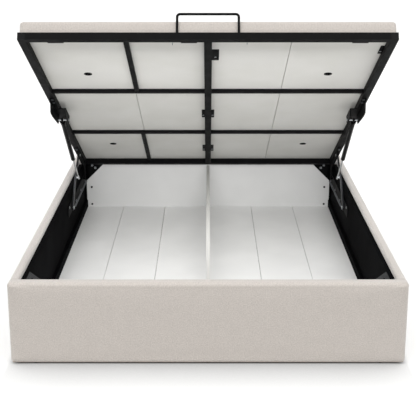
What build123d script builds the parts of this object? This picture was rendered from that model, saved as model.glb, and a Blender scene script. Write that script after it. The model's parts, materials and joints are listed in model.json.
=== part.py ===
"""Ottoman storage bed: an upholstered box with a lid that lifts on levers and gas struts.

Lengths are in millimetres and +Z is up. The origin lies on the floor under the middle of the
bed and the foot end faces -Y. The bed is alike on both sides of X = 0, but for the short bars
and the clips under the lid. The lid is modelled open, as it stands when someone reaches into
the storage space.
"""
import os
from math import atan2, cos, degrees, hypot, radians, sin

from build123d import *

# The upholstered box
bed_width = 1600
bed_length = 2118
rail_height = 350
end_rail_thickness = 50
side_rail_thickness = 40
cover_lift = 4
cover_skin = 8
cover_inner_skin = 5
cover_crown = 2.5
cover_edge_radius = 8
cover_corner_radius = 10
cover_turn_in = 60
glide_height = 6
glide_radius = 11

# Black linings inside the box, whose top edges carry the closed lid
lining_thickness = 19
lid_seat_height = 330
ledge_gap = 0.4
side_notch_run = 110
side_notch_depth = 20
head_lining_drop = 18
batten_thickness = 16
batten_height = 42

# Floor, rear board and centre divider
bearer_height = 30
bearer_width = 40
bearer_count = 5
floor_board_thickness = 12
floor_board_gap = 2
seam_shares = (0.35, 0.686)
wall_board_height = 257
rear_board_thickness = 16
rear_board_side_gap = 12
rear_board_space = 23
rear_board_cut = 97
divider_thickness = 18

# The lid's welded frame of square tube
lid_side_gap = 10
lid_front_gap = 10
lid_rear_gap = 8
tube_size = 30
tube_wall = 1.5
centre_bar_width = 32
cross_tube_width = 24
cross_tube_height = 15
cross_tube_shares = (0.303, 0.643)
short_bar_width = 20
short_bar_height = 15
short_bar_places = (329, 347)
end_cap_lip = 1.5
end_cap_depth = 14

# The platform on the lid
board_thickness = 15
board_joint = 338
board_gap = 2.4
platform_height = 54
platform_side_inset = 2
platform_front_inset = 13
platform_rear_inset = 5
platform_corner_radius = 42
platform_crown = 3
platform_crown_run = 380
platform_wall = 12
pad_edge_gap = 0.5
vent_radius = 15
vent_rim = 3
vent_rim_height = 1.5
vent_side = 530
vent_shares = (0.179, 0.758)

# Mattress bar, a bent rod on the front tube
bar_span = 244
bar_rise = 80
bar_rod_radius = 5
bar_bend_radius = 12
bar_front_inset = 7
bar_depth_in_tube = 22

# Lift mechanism, in planes parallel to the side of the bed
lid_angle = 28.9
lid_travel_back = 89
lid_drop = 10
plate_thickness = 3
plate_standoff = 2
layer_gap = 1
lever_thickness = 7
lever_pivot_height = 224
lever_root_radius = 15
lever_tip_radius = 12
lever_bend = 22
lever_bend_share = 0.55
lever_pin_along = 287
lever_pin_below = 18
base_bar_low = 205
base_bar_high = 262
base_bar_run = 162
base_bar_end_gap = 0.5
guide_along = 20
guide_below = 90
guide_pin_radius = 4
guide_boss_radius = 7.5
guide_slot_clearance = 0.35
guide_slot_end_room = 0.6
base_flange_reach = 10
base_flange_thickness = 3
base_flange_front_gap = 80
base_flange_rear_gap = 40
running_clearance = 0.05

# Bent plates under the lid's rear corners
hinge_plate_rear = 14
hinge_plate_run = 385
hinge_flange_drop = 32
hinge_flange_front = 330
hinge_plate_reach = 92
hinge_plate_tip = 20
hinge_plate_step = 14
hinge_plate_side_gap = 1
hinge_arm_width = 60

# Gas struts
strut_along = 1011
strut_below = 30
strut_seat_along = 190
strut_seat_out = 15
cylinder_radius = 11
cylinder_wall = 1.5
cylinder_length = 400
cylinder_start = 22
gland_length = 15
rod_radius = 5
rod_inside = 130
piston_length = 12
socket_radius = 8
socket_length = 26
ball_radius = 5
ball_neck_radius = 3
ball_clearance = 0.25
seat_gap = 0.3
strut_inset = 12
eye_radius = 9
eye_width = 10
eye_neck_radius = 4
bracket_wall = 3
bracket_width = 55
bracket_outer_cheek = (
    (-32, 3), (-32, 30), (-19, 44), (0, 46), (150, 60), (199, 60), (214, 55), (222, 36), (229, 20), (254, 14),
    (254, 3),
)
bracket_inner_cheek = ((-32, 3), (-32, 30), (-19, 44), (0, 46), (62, 46), (88, 34), (98, 16), (98, 3))

# Fasteners and small parts
bolt_radius = 4
bolt_head_radius = 7
bolt_head_height = 4
pivot_bolt_radius = 5
pivot_head_radius = 9
pivot_head_height = 5
pin_radius = 5
screw_radius = 2
screw_head_radius = 4.5
screw_head_height = 2
screw_length = 11
clip_thickness = 3
clip_width = 15
clip_length = 120
centre_clip_shares = (0.1075, 0.435)
front_clip_share = 0.848
front_clip_width = 30
side_tab_share = 0.8865
side_tab_length = 84
front_tab_shares = (-0.82, -0.103, 0.82)
front_tab_width = 65
front_tab_depth = 77
tip_screw_places = (-143, 157.7)
tip_screw_back = 101
tip_screw_reach = 15
tip_screw_point = 7
tip_screw_end_radius = 0.4
corner_plate_across = 82
corner_plate_back = 121
corner_plate_drop = 25
corner_plate_depth = 2
corner_hole_radius = 5
corner_hole_shares = (0.285, 0.355)
rear_plate_width = 78
rear_plate_inset = 11
rear_plate_lift = 6
rear_plate_headroom = 9
rear_bolt_offsets = ((34, 4), (52, 19))
rear_screw_inset = 29
rear_screw_head_radius = 6
rear_screw_rises = (15.5, 122)
glide_corner_inset = 100
glide_side_share = 0.17
overrun = 1

# Places that follow from the sizes above
foot_face = -bed_length / 2
head_face = bed_length / 2
foot_inner = foot_face + end_rail_thickness
head_inner = head_face - end_rail_thickness
side_inner = bed_width / 2 - side_rail_thickness
lining_inner = side_inner - lining_thickness
foot_lining_inner = foot_inner + lining_thickness
head_lining_inner = head_inner - lining_thickness
ledge_height = lid_seat_height - ledge_gap
floor_top = glide_height + bearer_height + floor_board_thickness
wall_board_top = floor_top + wall_board_height
rear_board_back = head_lining_inner - rear_board_space
rear_board_front = rear_board_back - rear_board_thickness
rear_board_side = lining_inner - rear_board_side_gap

lid_half_width = side_inner - lid_side_gap
closed_rear_y = head_inner - lid_rear_gap
lid_length = closed_rear_y - (foot_inner + lid_front_gap)
open_rear_y = closed_rear_y - lid_travel_back
open_rear_z = lid_seat_height - lid_drop
inner_half_width = lid_half_width - tube_size
cosine = cos(radians(lid_angle))
sine = sin(radians(lid_angle))
board_top = tube_size + board_thickness
platform_half_width = lid_half_width - platform_side_inset

# Faces of the mechanism's layers, measured from the middle of the bed
plate_outer = lining_inner - plate_standoff
plate_inner = plate_outer - plate_thickness
lever_outer = plate_inner - layer_gap
lever_inner = lever_outer - lever_thickness
flange_outer = lever_inner - layer_gap / 2
flange_inner = flange_outer - plate_thickness
strut_x = lever_inner - strut_inset

# Planes of the lid: local x across the bed, local y towards the lid's rear edge
lid_plane = Plane(origin=(0, open_rear_y, open_rear_z), x_dir=(1, 0, 0), z_dir=(0, sine, cosine))


def lid_side_plane(x):
    """Plane across the lid at x: local x runs to the lid's rear, local y up from the lid."""
    return Plane(origin=(x, open_rear_y, open_rear_z), x_dir=(0, cosine, -sine), z_dir=(1, 0, 0))


def open_place(along, above):
    """World Y and Z of a point of the open lid, from its rear lower edge."""
    y = open_rear_y - along * cosine + above * sine
    z = open_rear_z + along * sine + above * cosine
    return y, z


def closed_place(along, above):
    """World Y and Z of the same point with the lid closed."""
    return closed_rear_y - along, lid_seat_height + above


def pivot_place():
    """Fixed pivot of the lever: as far from its pin when the lid is open as when it is closed."""
    open_y, open_z = open_place(lever_pin_along, -lever_pin_below)
    closed_y, closed_z = closed_place(lever_pin_along, -lever_pin_below)
    middle_y = (open_y + closed_y) / 2
    middle_z = (open_z + closed_z) / 2
    rise = lever_pivot_height - middle_z
    return middle_y - rise * (closed_z - open_z) / (closed_y - open_y), lever_pivot_height


pin_y, pin_z = open_place(lever_pin_along, -lever_pin_below)
pivot_y, pivot_z = pivot_place()
lever_length = hypot(pin_y - pivot_y, pin_z - pivot_z)


def lever_place(along, out):
    """World Y and Z of a point of the lever, from its fixed pivot, with the lid open."""
    run_y = (pin_y - pivot_y) / lever_length
    run_z = (pin_z - pivot_z) / lever_length
    return pivot_y + along * run_y - out * run_z, pivot_z + along * run_z + out * run_y


seat_y, seat_z = lever_place(strut_seat_along, strut_seat_out)
strut_y, strut_z = open_place(strut_along, -strut_below)
strut_length = hypot(seat_y - strut_y, seat_z - strut_z)
guide_open_y, guide_open_z = open_place(guide_along, -guide_below)
guide_closed_y, guide_closed_z = closed_place(guide_along, -guide_below)
base_bar_front = pivot_y - base_bar_run + 2 * lever_root_radius
base_bar_rear = head_lining_inner - base_bar_end_gap

# Bolts that hold each base plate to its lining
front_bolt_share = 0.055
rear_bolt_shares = (0.387, 0.658, 0.918)
bolt_edge = 3 * bolt_head_radius / 2
base_bar_length = base_bar_rear - base_bar_front
base_bolt_places = [(base_bar_front + front_bolt_share * base_bar_length, base_bar_high - bolt_edge)]
base_bolt_places += [
    (base_bar_front + share * base_bar_length, base_bar_low + bolt_edge) for share in rear_bolt_shares
]

# Holes and screws in the storage box
rear_screw_side = rear_board_side - rear_screw_inset
rear_screw_heights = [floor_top + rise for rise in rear_screw_rises]
rear_bolt_places = [(rear_board_side - inset, wall_board_top - drop) for inset, drop in rear_bolt_offsets]
rear_plate_outer = rear_board_side - rear_plate_inset
rear_plate_inner = rear_plate_outer - rear_plate_width
rear_plate_low = floor_top + rear_plate_lift
rear_plate_top = lid_seat_height - rear_plate_headroom

# The strut brackets: their ends, and the bolts that stand under the side tubes inside them
bracket_rear = strut_along + bracket_outer_cheek[0][0]
bracket_front = strut_along + bracket_outer_cheek[-1][0]
bracket_inner_front = strut_along + bracket_inner_cheek[-1][0]
bolt_row_x = lid_half_width - tube_size / 2 - 2 * bracket_wall


def save(part, label):
    """Labels a finished sub-part and writes it to its own file."""
    part.label = label
    export_step(part, f"parts/{label}.step")


def add_box(x_low, x_high, y_low, y_high, z_low, z_high, mode=Mode.ADD):
    """Adds a box by its two corners to the sub-part under construction."""
    with Locations((x_low, y_low, z_low)):
        Box(x_high - x_low, y_high - y_low, z_high - z_low, align=(Align.MIN,) * 3, mode=mode)


def add_lid_box(x_low, x_high, along_low, along_high, low, high, mode=Mode.ADD):
    """Adds a box in the lid's own frame, with lengths measured from the lid's rear edge."""
    add_box(x_low, x_high, -along_high, -along_low, low, high, mode)


def add_rod(start, turn, radius, length, mode=Mode.ADD):
    """Adds a round bar from a start point, along local Z turned by the given angles."""
    with Locations(Location(start, turn)):
        Cylinder(radius, length, align=(Align.CENTER, Align.CENTER, Align.MIN), mode=mode)


def add_x_rod(x_low, x_high, y, z, radius, mode=Mode.ADD):
    """Adds a round bar along X between two places, given in either order."""
    add_rod((min(x_low, x_high), y, z), (0, 90, 0), radius, abs(x_high - x_low), mode)


def add_y_rod(x, y_low, y_high, z, radius, mode=Mode.ADD):
    """Adds a round bar along Y."""
    add_rod((x, y_low, z), (-90, 0, 0), radius, y_high - y_low, mode)


def layer_plane(side, outer, inner):
    """Sketch plane at the lower X face of a layer on the given side of the bed."""
    return Plane.YZ.offset(min(side * outer, side * inner))


# Upholstered rails


def cover_outline(thickness):
    """Closed outline of a whole rail in section: local x outwards from its inner face, local y up."""
    edge = cover_edge_radius
    outer = thickness - cover_crown
    middle_z = (rail_height + cover_lift) / 2
    with BuildLine() as line:
        Line((0, cover_lift), (0, rail_height - edge))
        RadiusArc((0, rail_height - edge), (edge, rail_height), edge)
        Line((edge, rail_height), (outer - edge, rail_height))
        RadiusArc((outer - edge, rail_height), (outer, rail_height - edge), edge)
        ThreePointArc((outer, rail_height - edge), (thickness, middle_z), (outer, cover_lift))
        Line((outer, cover_lift), (0, cover_lift))
    return line.line


def rail_plane(x, y, out_x, out_y):
    """Section plane of a rail whose outer face looks along (out_x, out_y)."""
    return Plane(origin=(x, y, 0), x_dir=(out_x, out_y, 0), z_dir=(out_y, -out_x, 0))


def make_end_rail(label, sign, inner_y):
    """Core and cover of the rail across the foot or the head of the bed."""
    half_width = bed_width / 2
    core_half = half_width - cover_skin
    core_faces = (
        inner_y + sign * cover_inner_skin,
        inner_y + sign * (end_rail_thickness - cover_skin),
    )
    core_low, core_high = min(core_faces), max(core_faces)
    core_top = rail_height - cover_skin
    turn_in_low = rail_height - cover_turn_in
    with BuildPart() as core:
        add_box(-core_half, core_half, core_low, core_high, glide_height, core_top)
    save(core.part, f"{label}_rail_core")

    plane = rail_plane(-sign * half_width, inner_y, 0, sign)
    with BuildPart() as cover:
        with BuildSketch(plane):
            make_face(cover_outline(end_rail_thickness).edges())
        extrude(amount=bed_width)
        with BuildSketch():
            with Locations((0, inner_y + sign * end_rail_thickness / 2)):
                RectangleRounded(bed_width, end_rail_thickness, cover_corner_radius)
        extrude(amount=rail_height, mode=Mode.INTERSECT)
        add_box(-core_half, core_half, core_low, core_high, 0, core_top, Mode.SUBTRACT)
        back = inner_y - sign * overrun
        front = inner_y + sign * cover_inner_skin
        add_box(
            -half_width, half_width, min(back, front), max(back, front), 0, turn_in_low, Mode.SUBTRACT
        )
    save(cover.part, f"{label}_rail_cover")


def make_side_rail(label, side):
    """Core and cover of a side rail, which runs between the foot and head rails."""
    length = head_inner - foot_inner
    core_faces = (
        side * (side_inner + cover_inner_skin),
        side * (bed_width / 2 - cover_skin),
    )
    core_top = rail_height - cover_skin
    with BuildPart() as core:
        add_box(min(core_faces), max(core_faces), foot_inner, head_inner, glide_height, core_top)
    save(core.part, f"{label}_rail_core")

    start = foot_inner if side < 0 else head_inner
    turn_in_low = rail_height - cover_turn_in
    with BuildPart() as cover:
        with BuildSketch(rail_plane(side * side_inner, start, side, 0)):
            make_face(cover_outline(side_rail_thickness).edges())
        extrude(amount=length)
        cut_low, cut_high = foot_inner - overrun, head_inner + overrun
        add_box(min(core_faces), max(core_faces), cut_low, cut_high, 0, core_top, Mode.SUBTRACT)
        edges = (side * (side_inner - overrun), side * (side_inner + cover_inner_skin))
        add_box(min(edges), max(edges), cut_low, cut_high, 0, turn_in_low, Mode.SUBTRACT)
    save(cover.part, f"{label}_rail_cover")


def make_glides():
    """Round glides under the rails and under the middle of the floor."""
    end_middle = end_rail_thickness / 2
    side_middle = side_inner + side_rail_thickness / 2
    corner = bed_width / 2 - glide_corner_inset
    places = [(x, y) for x in (-corner, 0, corner) for y in (foot_face + end_middle, head_face - end_middle)]
    side_run = glide_side_share * bed_length
    places += [(side * side_middle, y) for side in (-1, 1) for y in (-side_run, side_run)]
    places += [(0, y) for y in bearer_middles()[1:-1:2]]
    with BuildPart() as glides:
        with Locations(*[(x, y, 0) for x, y in places]):
            Cylinder(glide_radius, glide_height, align=(Align.CENTER, Align.CENTER, Align.MIN))
    save(glides.part, "glide_feet")


# Linings and floor


def make_linings():
    """Black boards that line the box and carry the closed lid on their top edges."""
    with BuildPart() as foot:
        add_box(-side_inner, side_inner, foot_inner, foot_lining_inner, glide_height, ledge_height)
    save(foot.part, "foot_lining")
    with BuildPart() as head:
        add_box(-side_inner, side_inner, head_lining_inner, head_inner, glide_height,
                lid_seat_height - head_lining_drop)
    save(head.part, "head_lining")
    for label, side in (("left", -1), ("right", 1)):
        faces = (side * lining_inner, side * side_inner)
        with BuildPart() as lining:
            add_box(min(faces), max(faces), foot_lining_inner, head_lining_inner, glide_height, ledge_height)
            notch_start = head_lining_inner - side_notch_run
            notch_low = ledge_height - side_notch_depth
            add_box(min(faces), max(faces), notch_start, head_lining_inner, notch_low, ledge_height,
                    Mode.SUBTRACT)
            for y, z in base_bolt_places + [(pivot_y, pivot_z)]:
                radius = bolt_radius + running_clearance
                add_x_rod(side * (lining_inner - overrun), side * (side_inner + overrun), y, z, radius,
                          Mode.SUBTRACT)
        save(lining.part, f"{label}_lining")


def bearer_middles():
    """Y places of the cross bearers under the floor boards."""
    first = foot_lining_inner + bearer_width
    last = head_lining_inner - bearer_width
    return [first + (last - first) * index / (bearer_count - 1) for index in range(bearer_count)]


def make_floor():
    """Cross bearers, six floor boards and the black battens beside them."""
    bearer_top = glide_height + bearer_height
    with BuildPart() as bearers:
        for y in bearer_middles():
            add_box(-lining_inner, lining_inner, y - bearer_width / 2, y + bearer_width / 2,
                    glide_height, bearer_top)
    save(bearers.part, "floor_bearers")

    half_gap = floor_board_gap / 2
    seams = [0] + [share * lining_inner for share in seam_shares] + [lining_inner]
    spans = [(-high, -low) for low, high in zip(seams, seams[1:])][::-1] + list(zip(seams, seams[1:]))
    for index, (low, high) in enumerate(spans, start=1):
        with BuildPart() as board:
            add_box(low + half_gap, high - half_gap, foot_lining_inner, head_lining_inner, bearer_top,
                    floor_top)
        save(board.part, f"floor_board_{index}")

    with BuildPart() as battens:
        for side in (-1, 1):
            faces = (side * (lining_inner - batten_thickness), side * lining_inner)
            add_box(min(faces), max(faces), foot_lining_inner, rear_board_front, floor_top,
                    floor_top + batten_height)
    save(battens.part, "floor_side_battens")


def make_wall_boards():
    """Rear cross board with its upper corners cut off, and the centre divider."""
    cut = rear_board_cut
    top = wall_board_top
    with BuildPart() as rear:
        with BuildSketch(Plane.XZ.offset(-rear_board_back)):
            with BuildLine():
                Polyline(
                    (-rear_board_side, floor_top),
                    (rear_board_side, floor_top),
                    (rear_board_side, top - cut),
                    (rear_board_side - cut, top),
                    (cut - rear_board_side, top),
                    (-rear_board_side, top - cut),
                    close=True,
                )
            make_face()
        extrude(amount=rear_board_thickness)
        for x, z in rear_screw_places():
            add_y_rod(x, rear_board_front - overrun, rear_board_back + overrun, z,
                      screw_radius + running_clearance, Mode.SUBTRACT)
    save(rear.part, "rear_board")
    with BuildPart() as divider:
        add_box(-divider_thickness / 2, divider_thickness / 2, foot_lining_inner, rear_board_front,
                floor_top, top)
    save(divider.part, "centre_divider")


def rear_screw_places():
    """X and Z of the screws that hold the rear board to its corner plates."""
    return [(side * rear_screw_side, z) for side in (-1, 1) for z in rear_screw_heights]


def make_corner_plates():
    """Steel plates in the front corners, and behind the rear board's cut corners."""
    thickness = plate_thickness
    top = lid_seat_height - corner_plate_depth
    with BuildPart() as front:
        for side in (-1, 1):
            corner = (side * lining_inner, foot_lining_inner)
            with BuildSketch(Plane.XY.offset(top - thickness)):
                with BuildLine():
                    across_end = (corner[0] - side * corner_plate_across, corner[1])
                    back_end = (corner[0], corner[1] + corner_plate_back)
                    Polyline(corner, across_end, back_end, close=True)
                make_face()
                across, back = corner_hole_shares
                hole = (corner[0] - side * across * corner_plate_across,
                        corner[1] + back * corner_plate_back)
                with Locations(hole):
                    Circle(corner_hole_radius, mode=Mode.SUBTRACT)
            extrude(amount=thickness)
            wall = (corner[0], corner[0] - side * thickness)
            low = top - corner_plate_drop
            add_box(min(wall), max(wall), corner[1], corner[1] + corner_plate_back - thickness,
                    low, top)
            run = (corner[0], corner[0] - side * (corner_plate_across - thickness))
            add_box(min(run), max(run), corner[1], corner[1] + thickness, low, top)
    save(front.part, "front_corner_plates")

    with BuildPart() as rear:
        for side in (-1, 1):
            span = (side * rear_plate_inner, side * rear_plate_outer)
            add_box(min(span), max(span), rear_board_back, rear_board_back + thickness,
                    rear_plate_low, rear_plate_top)
            turned = (side * rear_plate_inner, side * (rear_plate_inner + thickness))
            add_box(min(turned), max(turned), rear_board_back, head_lining_inner, rear_plate_low,
                    rear_plate_top)
            for x, z in rear_bolt_places:
                add_y_rod(side * x, rear_board_back - overrun, rear_board_back + thickness + overrun, z,
                          bolt_radius + running_clearance, Mode.SUBTRACT)
        for x, z in rear_screw_places():
            add_y_rod(x, rear_board_back - overrun, rear_board_back + thickness + overrun, z,
                      screw_radius + running_clearance, Mode.SUBTRACT)
    save(rear.part, "rear_corner_plates")


def make_box_fasteners():
    """Screws of the rear board and bolts of the base plates and rear corner plates."""
    with BuildPart() as screws:
        for x, z in rear_screw_places():
            face = rear_board_front
            add_y_rod(x, face - screw_head_height, face, z, rear_screw_head_radius)
            add_y_rod(x, face, rear_board_back + plate_thickness, z, screw_radius)
    save(screws.part, "rear_board_screws")

    with BuildPart() as bolts:
        for side in (-1, 1):
            for y, z in base_bolt_places:
                head_end = plate_inner - bolt_head_height / 2
                add_x_rod(side * head_end, side * plate_inner, y, z, bolt_head_radius)
                add_x_rod(side * plate_inner, side * side_inner, y, z, bolt_radius)
                add_x_rod(side * plate_outer, side * lining_inner, y, z, bolt_head_radius)
            for x, z in rear_bolt_places:
                add_y_rod(side * x, rear_board_back - bolt_head_height, rear_board_back, z, bolt_head_radius)
                add_y_rod(side * x, rear_board_back, rear_board_back + 2 * plate_thickness, z, bolt_radius)
    save(bolts.part, "box_bolts")


# Lift mechanism


def make_base_plates():
    """Steel bars on the side linings, with the lever's pivot and the slot of the guide pin."""
    middle_y = (guide_open_y + guide_closed_y) / 2
    middle_z = (guide_open_z + guide_closed_z) / 2
    slope = degrees(atan2(guide_closed_z - guide_open_z, guide_closed_y - guide_open_y))
    travel = hypot(guide_closed_y - guide_open_y, guide_closed_z - guide_open_z)
    slot_height = 2 * (guide_pin_radius + guide_slot_clearance)
    length = base_bar_length
    height = base_bar_high - base_bar_low
    for label, side in (("left", -1), ("right", 1)):
        with BuildPart() as plate:
            with BuildSketch(layer_plane(side, plate_outer, plate_inner)):
                with Locations((base_bar_front + length / 2, base_bar_low + height / 2)):
                    Rectangle(length, height)
                with Locations((middle_y, middle_z)):
                    SlotCenterToCenter(travel + 2 * guide_slot_end_room, slot_height, rotation=slope,
                                       mode=Mode.SUBTRACT)
                with Locations(*base_bolt_places):
                    Circle(bolt_radius + running_clearance, mode=Mode.SUBTRACT)
                with Locations((pivot_y, pivot_z)):
                    Circle(pivot_bolt_radius + running_clearance, mode=Mode.SUBTRACT)
            extrude(amount=plate_thickness)
            corners = plate.edges().filter_by(Axis.X).group_by(Axis.Y)[0]
            fillet(corners, height / 3)
            faces = (side * plate_inner, side * (plate_inner - base_flange_reach))
            flange_start = pivot_y + base_flange_front_gap
            flange_end = head_lining_inner - base_flange_rear_gap
            add_box(min(faces), max(faces), flange_start, flange_end, base_bar_low,
                    base_bar_low + base_flange_thickness)
        save(plate.part, f"{label}_base_plate")


def make_levers():
    """Bent flat levers, one on each side, from the fixed pivot to the lid's pin."""
    bend_y, bend_z = lever_place(lever_bend_share * lever_length, lever_bend)
    middle_radius = (lever_root_radius + lever_tip_radius) / 2
    for label, side in (("left", -1), ("right", 1)):
        plane = layer_plane(side, lever_outer, lever_inner)
        with BuildPart() as lever:
            with BuildSketch(plane):
                with Locations((pivot_y, pivot_z)):
                    Circle(lever_root_radius)
                with Locations((bend_y, bend_z)):
                    Circle(middle_radius)
                make_hull()
            extrude(amount=lever_thickness)
            with BuildSketch(plane):
                with Locations((bend_y, bend_z)):
                    Circle(middle_radius)
                with Locations((pin_y, pin_z)):
                    Circle(lever_tip_radius)
                make_hull()
            extrude(amount=lever_thickness)
            with BuildSketch(plane):
                with Locations((pivot_y, pivot_z), (pin_y, pin_z)):
                    Circle(pivot_bolt_radius + running_clearance)
            extrude(amount=lever_thickness, mode=Mode.SUBTRACT)
        save(lever.part, f"{label}_lever")


def make_pivot_pins():
    """Bolts of the fixed pivots, and pins that join the levers to the lid's plates."""
    with BuildPart() as bolts:
        for side in (-1, 1):
            inner = lever_inner - layer_gap / 2
            add_x_rod(side * (inner - pivot_head_height), side * inner, pivot_y, pivot_z, pivot_head_radius)
            add_x_rod(side * inner, side * lining_inner, pivot_y, pivot_z, pivot_bolt_radius)
            add_x_rod(side * lining_inner, side * side_inner, pivot_y, pivot_z, bolt_radius)
            add_x_rod(side * plate_outer, side * lining_inner, pivot_y, pivot_z, pivot_head_radius)
    save(bolts.part, "lever_pivot_bolts")
    with BuildPart() as pins:
        for side in (-1, 1):
            inner = flange_inner - layer_gap / 2
            outer = lever_outer
            add_x_rod(side * (inner - bolt_head_height), side * inner, pin_y, pin_z, bolt_head_radius)
            add_x_rod(side * inner, side * outer, pin_y, pin_z, pin_radius)
    save(pins.part, "lever_pins")


def make_hinge_plates():
    """Bent plates under the lid's rear corners: a flat flange, a side flange and the guide arm."""
    outer = lining_inner - hinge_plate_side_gap
    inner_wide = outer - hinge_plate_reach
    inner_narrow = outer - hinge_plate_tip
    for label, side in (("left", -1), ("right", 1)):
        with BuildPart() as plate:
            with BuildSketch(lid_plane.offset(-plate_thickness)):
                with BuildLine():
                    Polyline(
                        (side * outer, -hinge_plate_rear),
                        (side * inner_wide, -hinge_plate_rear),
                        (side * inner_wide, -tube_size),
                        (side * inner_narrow, -tube_size - hinge_plate_step),
                        (side * inner_narrow, -hinge_plate_run),
                        (side * outer, -hinge_plate_run),
                        close=True,
                    )
                make_face()
            extrude(amount=plate_thickness)
            with BuildSketch(lid_side_plane(min(side * flange_inner, side * flange_outer))):
                with BuildLine():
                    Polyline(
                        (-hinge_plate_rear, -plate_thickness),
                        (-hinge_plate_rear, -guide_below),
                        (-guide_along - guide_boss_radius, -guide_below),
                        (-guide_along - hinge_arm_width, -hinge_flange_drop),
                        (-hinge_flange_front, -hinge_flange_drop),
                        (-hinge_flange_front, -plate_thickness),
                        close=True,
                    )
                make_face()
                with Locations((-guide_along, -guide_below)):
                    Circle(guide_boss_radius)
                with Locations((-lever_pin_along, -lever_pin_below)):
                    Circle(pin_radius + running_clearance, mode=Mode.SUBTRACT)
            extrude(amount=plate_thickness)
            add_x_rod(side * flange_inner, side * (plate_outer + plate_standoff / 2), guide_open_y,
                      guide_open_z, guide_pin_radius)
            for x, along in hinge_bolt_places():
                with BuildSketch(lid_plane.offset(-plate_thickness)):
                    with Locations((side * x, -along)):
                        Circle(bolt_radius + running_clearance)
                extrude(amount=plate_thickness, mode=Mode.SUBTRACT)
        save(plate.part, f"{label}_hinge_plate")


def hinge_bolt_places():
    """X and distance from the lid's rear edge of the bolts through each hinge plate."""
    outer_row = lining_inner - hinge_plate_side_gap - 4 * bolt_radius
    rear_row = tube_size - 2 * bolt_radius
    return (
        (outer_row + 2 * bolt_radius, hinge_plate_run - tube_size),
        (outer_row - hinge_plate_reach / 2 + 2 * bolt_radius, rear_row),
    )


# Gas struts


def strut_plane(x):
    """Plane at the strut's upper pin whose normal runs down the strut to its seat."""
    return Plane(origin=(x, strut_y, strut_z), x_dir=(1, 0, 0), z_dir=(0, seat_y - strut_y, seat_z - strut_z))


def add_strut_rod(start, end, radius, mode=Mode.ADD):
    """Adds a round length of the strut between two distances from its upper pin."""
    with Locations((0, 0, start)):
        Cylinder(radius, end - start, align=(Align.CENTER, Align.CENTER, Align.MIN), mode=mode)


def make_struts():
    """Cylinders with their upper eyes, rods with pistons and sockets, and ball studs."""
    end = cylinder_start + cylinder_length
    bore_end = end - gland_length
    with BuildPart(strut_plane(-strut_x), strut_plane(strut_x)) as cylinders:
        add_strut_rod(cylinder_start, end, cylinder_radius)
        add_strut_rod(0, cylinder_start + cylinder_wall, eye_neck_radius)
        with Locations(Location((-eye_width / 2, 0, 0), (0, 90, 0))):
            Cylinder(eye_radius, eye_width, align=(Align.CENTER, Align.CENTER, Align.MIN))
        with Locations(Location((-eye_width, 0, 0), (0, 90, 0))):
            Cylinder(bolt_radius + running_clearance, 2 * eye_width,
                     align=(Align.CENTER, Align.CENTER, Align.MIN), mode=Mode.SUBTRACT)
        add_strut_rod(cylinder_start + gland_length, bore_end, cylinder_radius - cylinder_wall, Mode.SUBTRACT)
        add_strut_rod(bore_end, end, rod_radius + running_clearance, Mode.SUBTRACT)
    save(cylinders.part, "strut_cylinders")

    socket_top = strut_length + socket_radius - socket_length
    with BuildPart(strut_plane(-strut_x), strut_plane(strut_x)) as rods:
        add_strut_rod(end - rod_inside, socket_top, rod_radius)
        add_strut_rod(end - rod_inside, end - rod_inside + piston_length,
                      cylinder_radius - cylinder_wall - running_clearance)
        add_strut_rod(socket_top, strut_length, socket_radius - cylinder_wall)
        with Locations((0, 0, strut_length)):
            Sphere(socket_radius)
            Sphere(ball_radius + ball_clearance, mode=Mode.SUBTRACT)
    with BuildPart() as mouths:
        for side in (-1, 1):
            add_x_rod(side * strut_x, side * lever_inner, seat_y, seat_z, ball_radius + ball_clearance)
    with BuildPart() as opened_rods:
        add(rods.part)
        add(mouths.part, mode=Mode.SUBTRACT)
    save(opened_rods.part, "strut_rods")

    stud_length = lever_inner - seat_gap - strut_x
    with BuildPart() as studs:
        for side in (-1, 1):
            with BuildSketch(Plane(origin=(side * strut_x, seat_y, seat_z), x_dir=(side, 0, 0))):
                Circle(ball_radius)
                with Locations((stud_length / 2, 0)):
                    Rectangle(stud_length, 2 * ball_neck_radius)
                with Locations((0, -ball_radius)):
                    Rectangle(4 * ball_radius + 2 * stud_length, 2 * ball_radius, mode=Mode.SUBTRACT)
            revolve(axis=Axis((0, seat_y, seat_z), (1, 0, 0)))
    save(studs.part, "strut_ball_studs")


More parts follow.
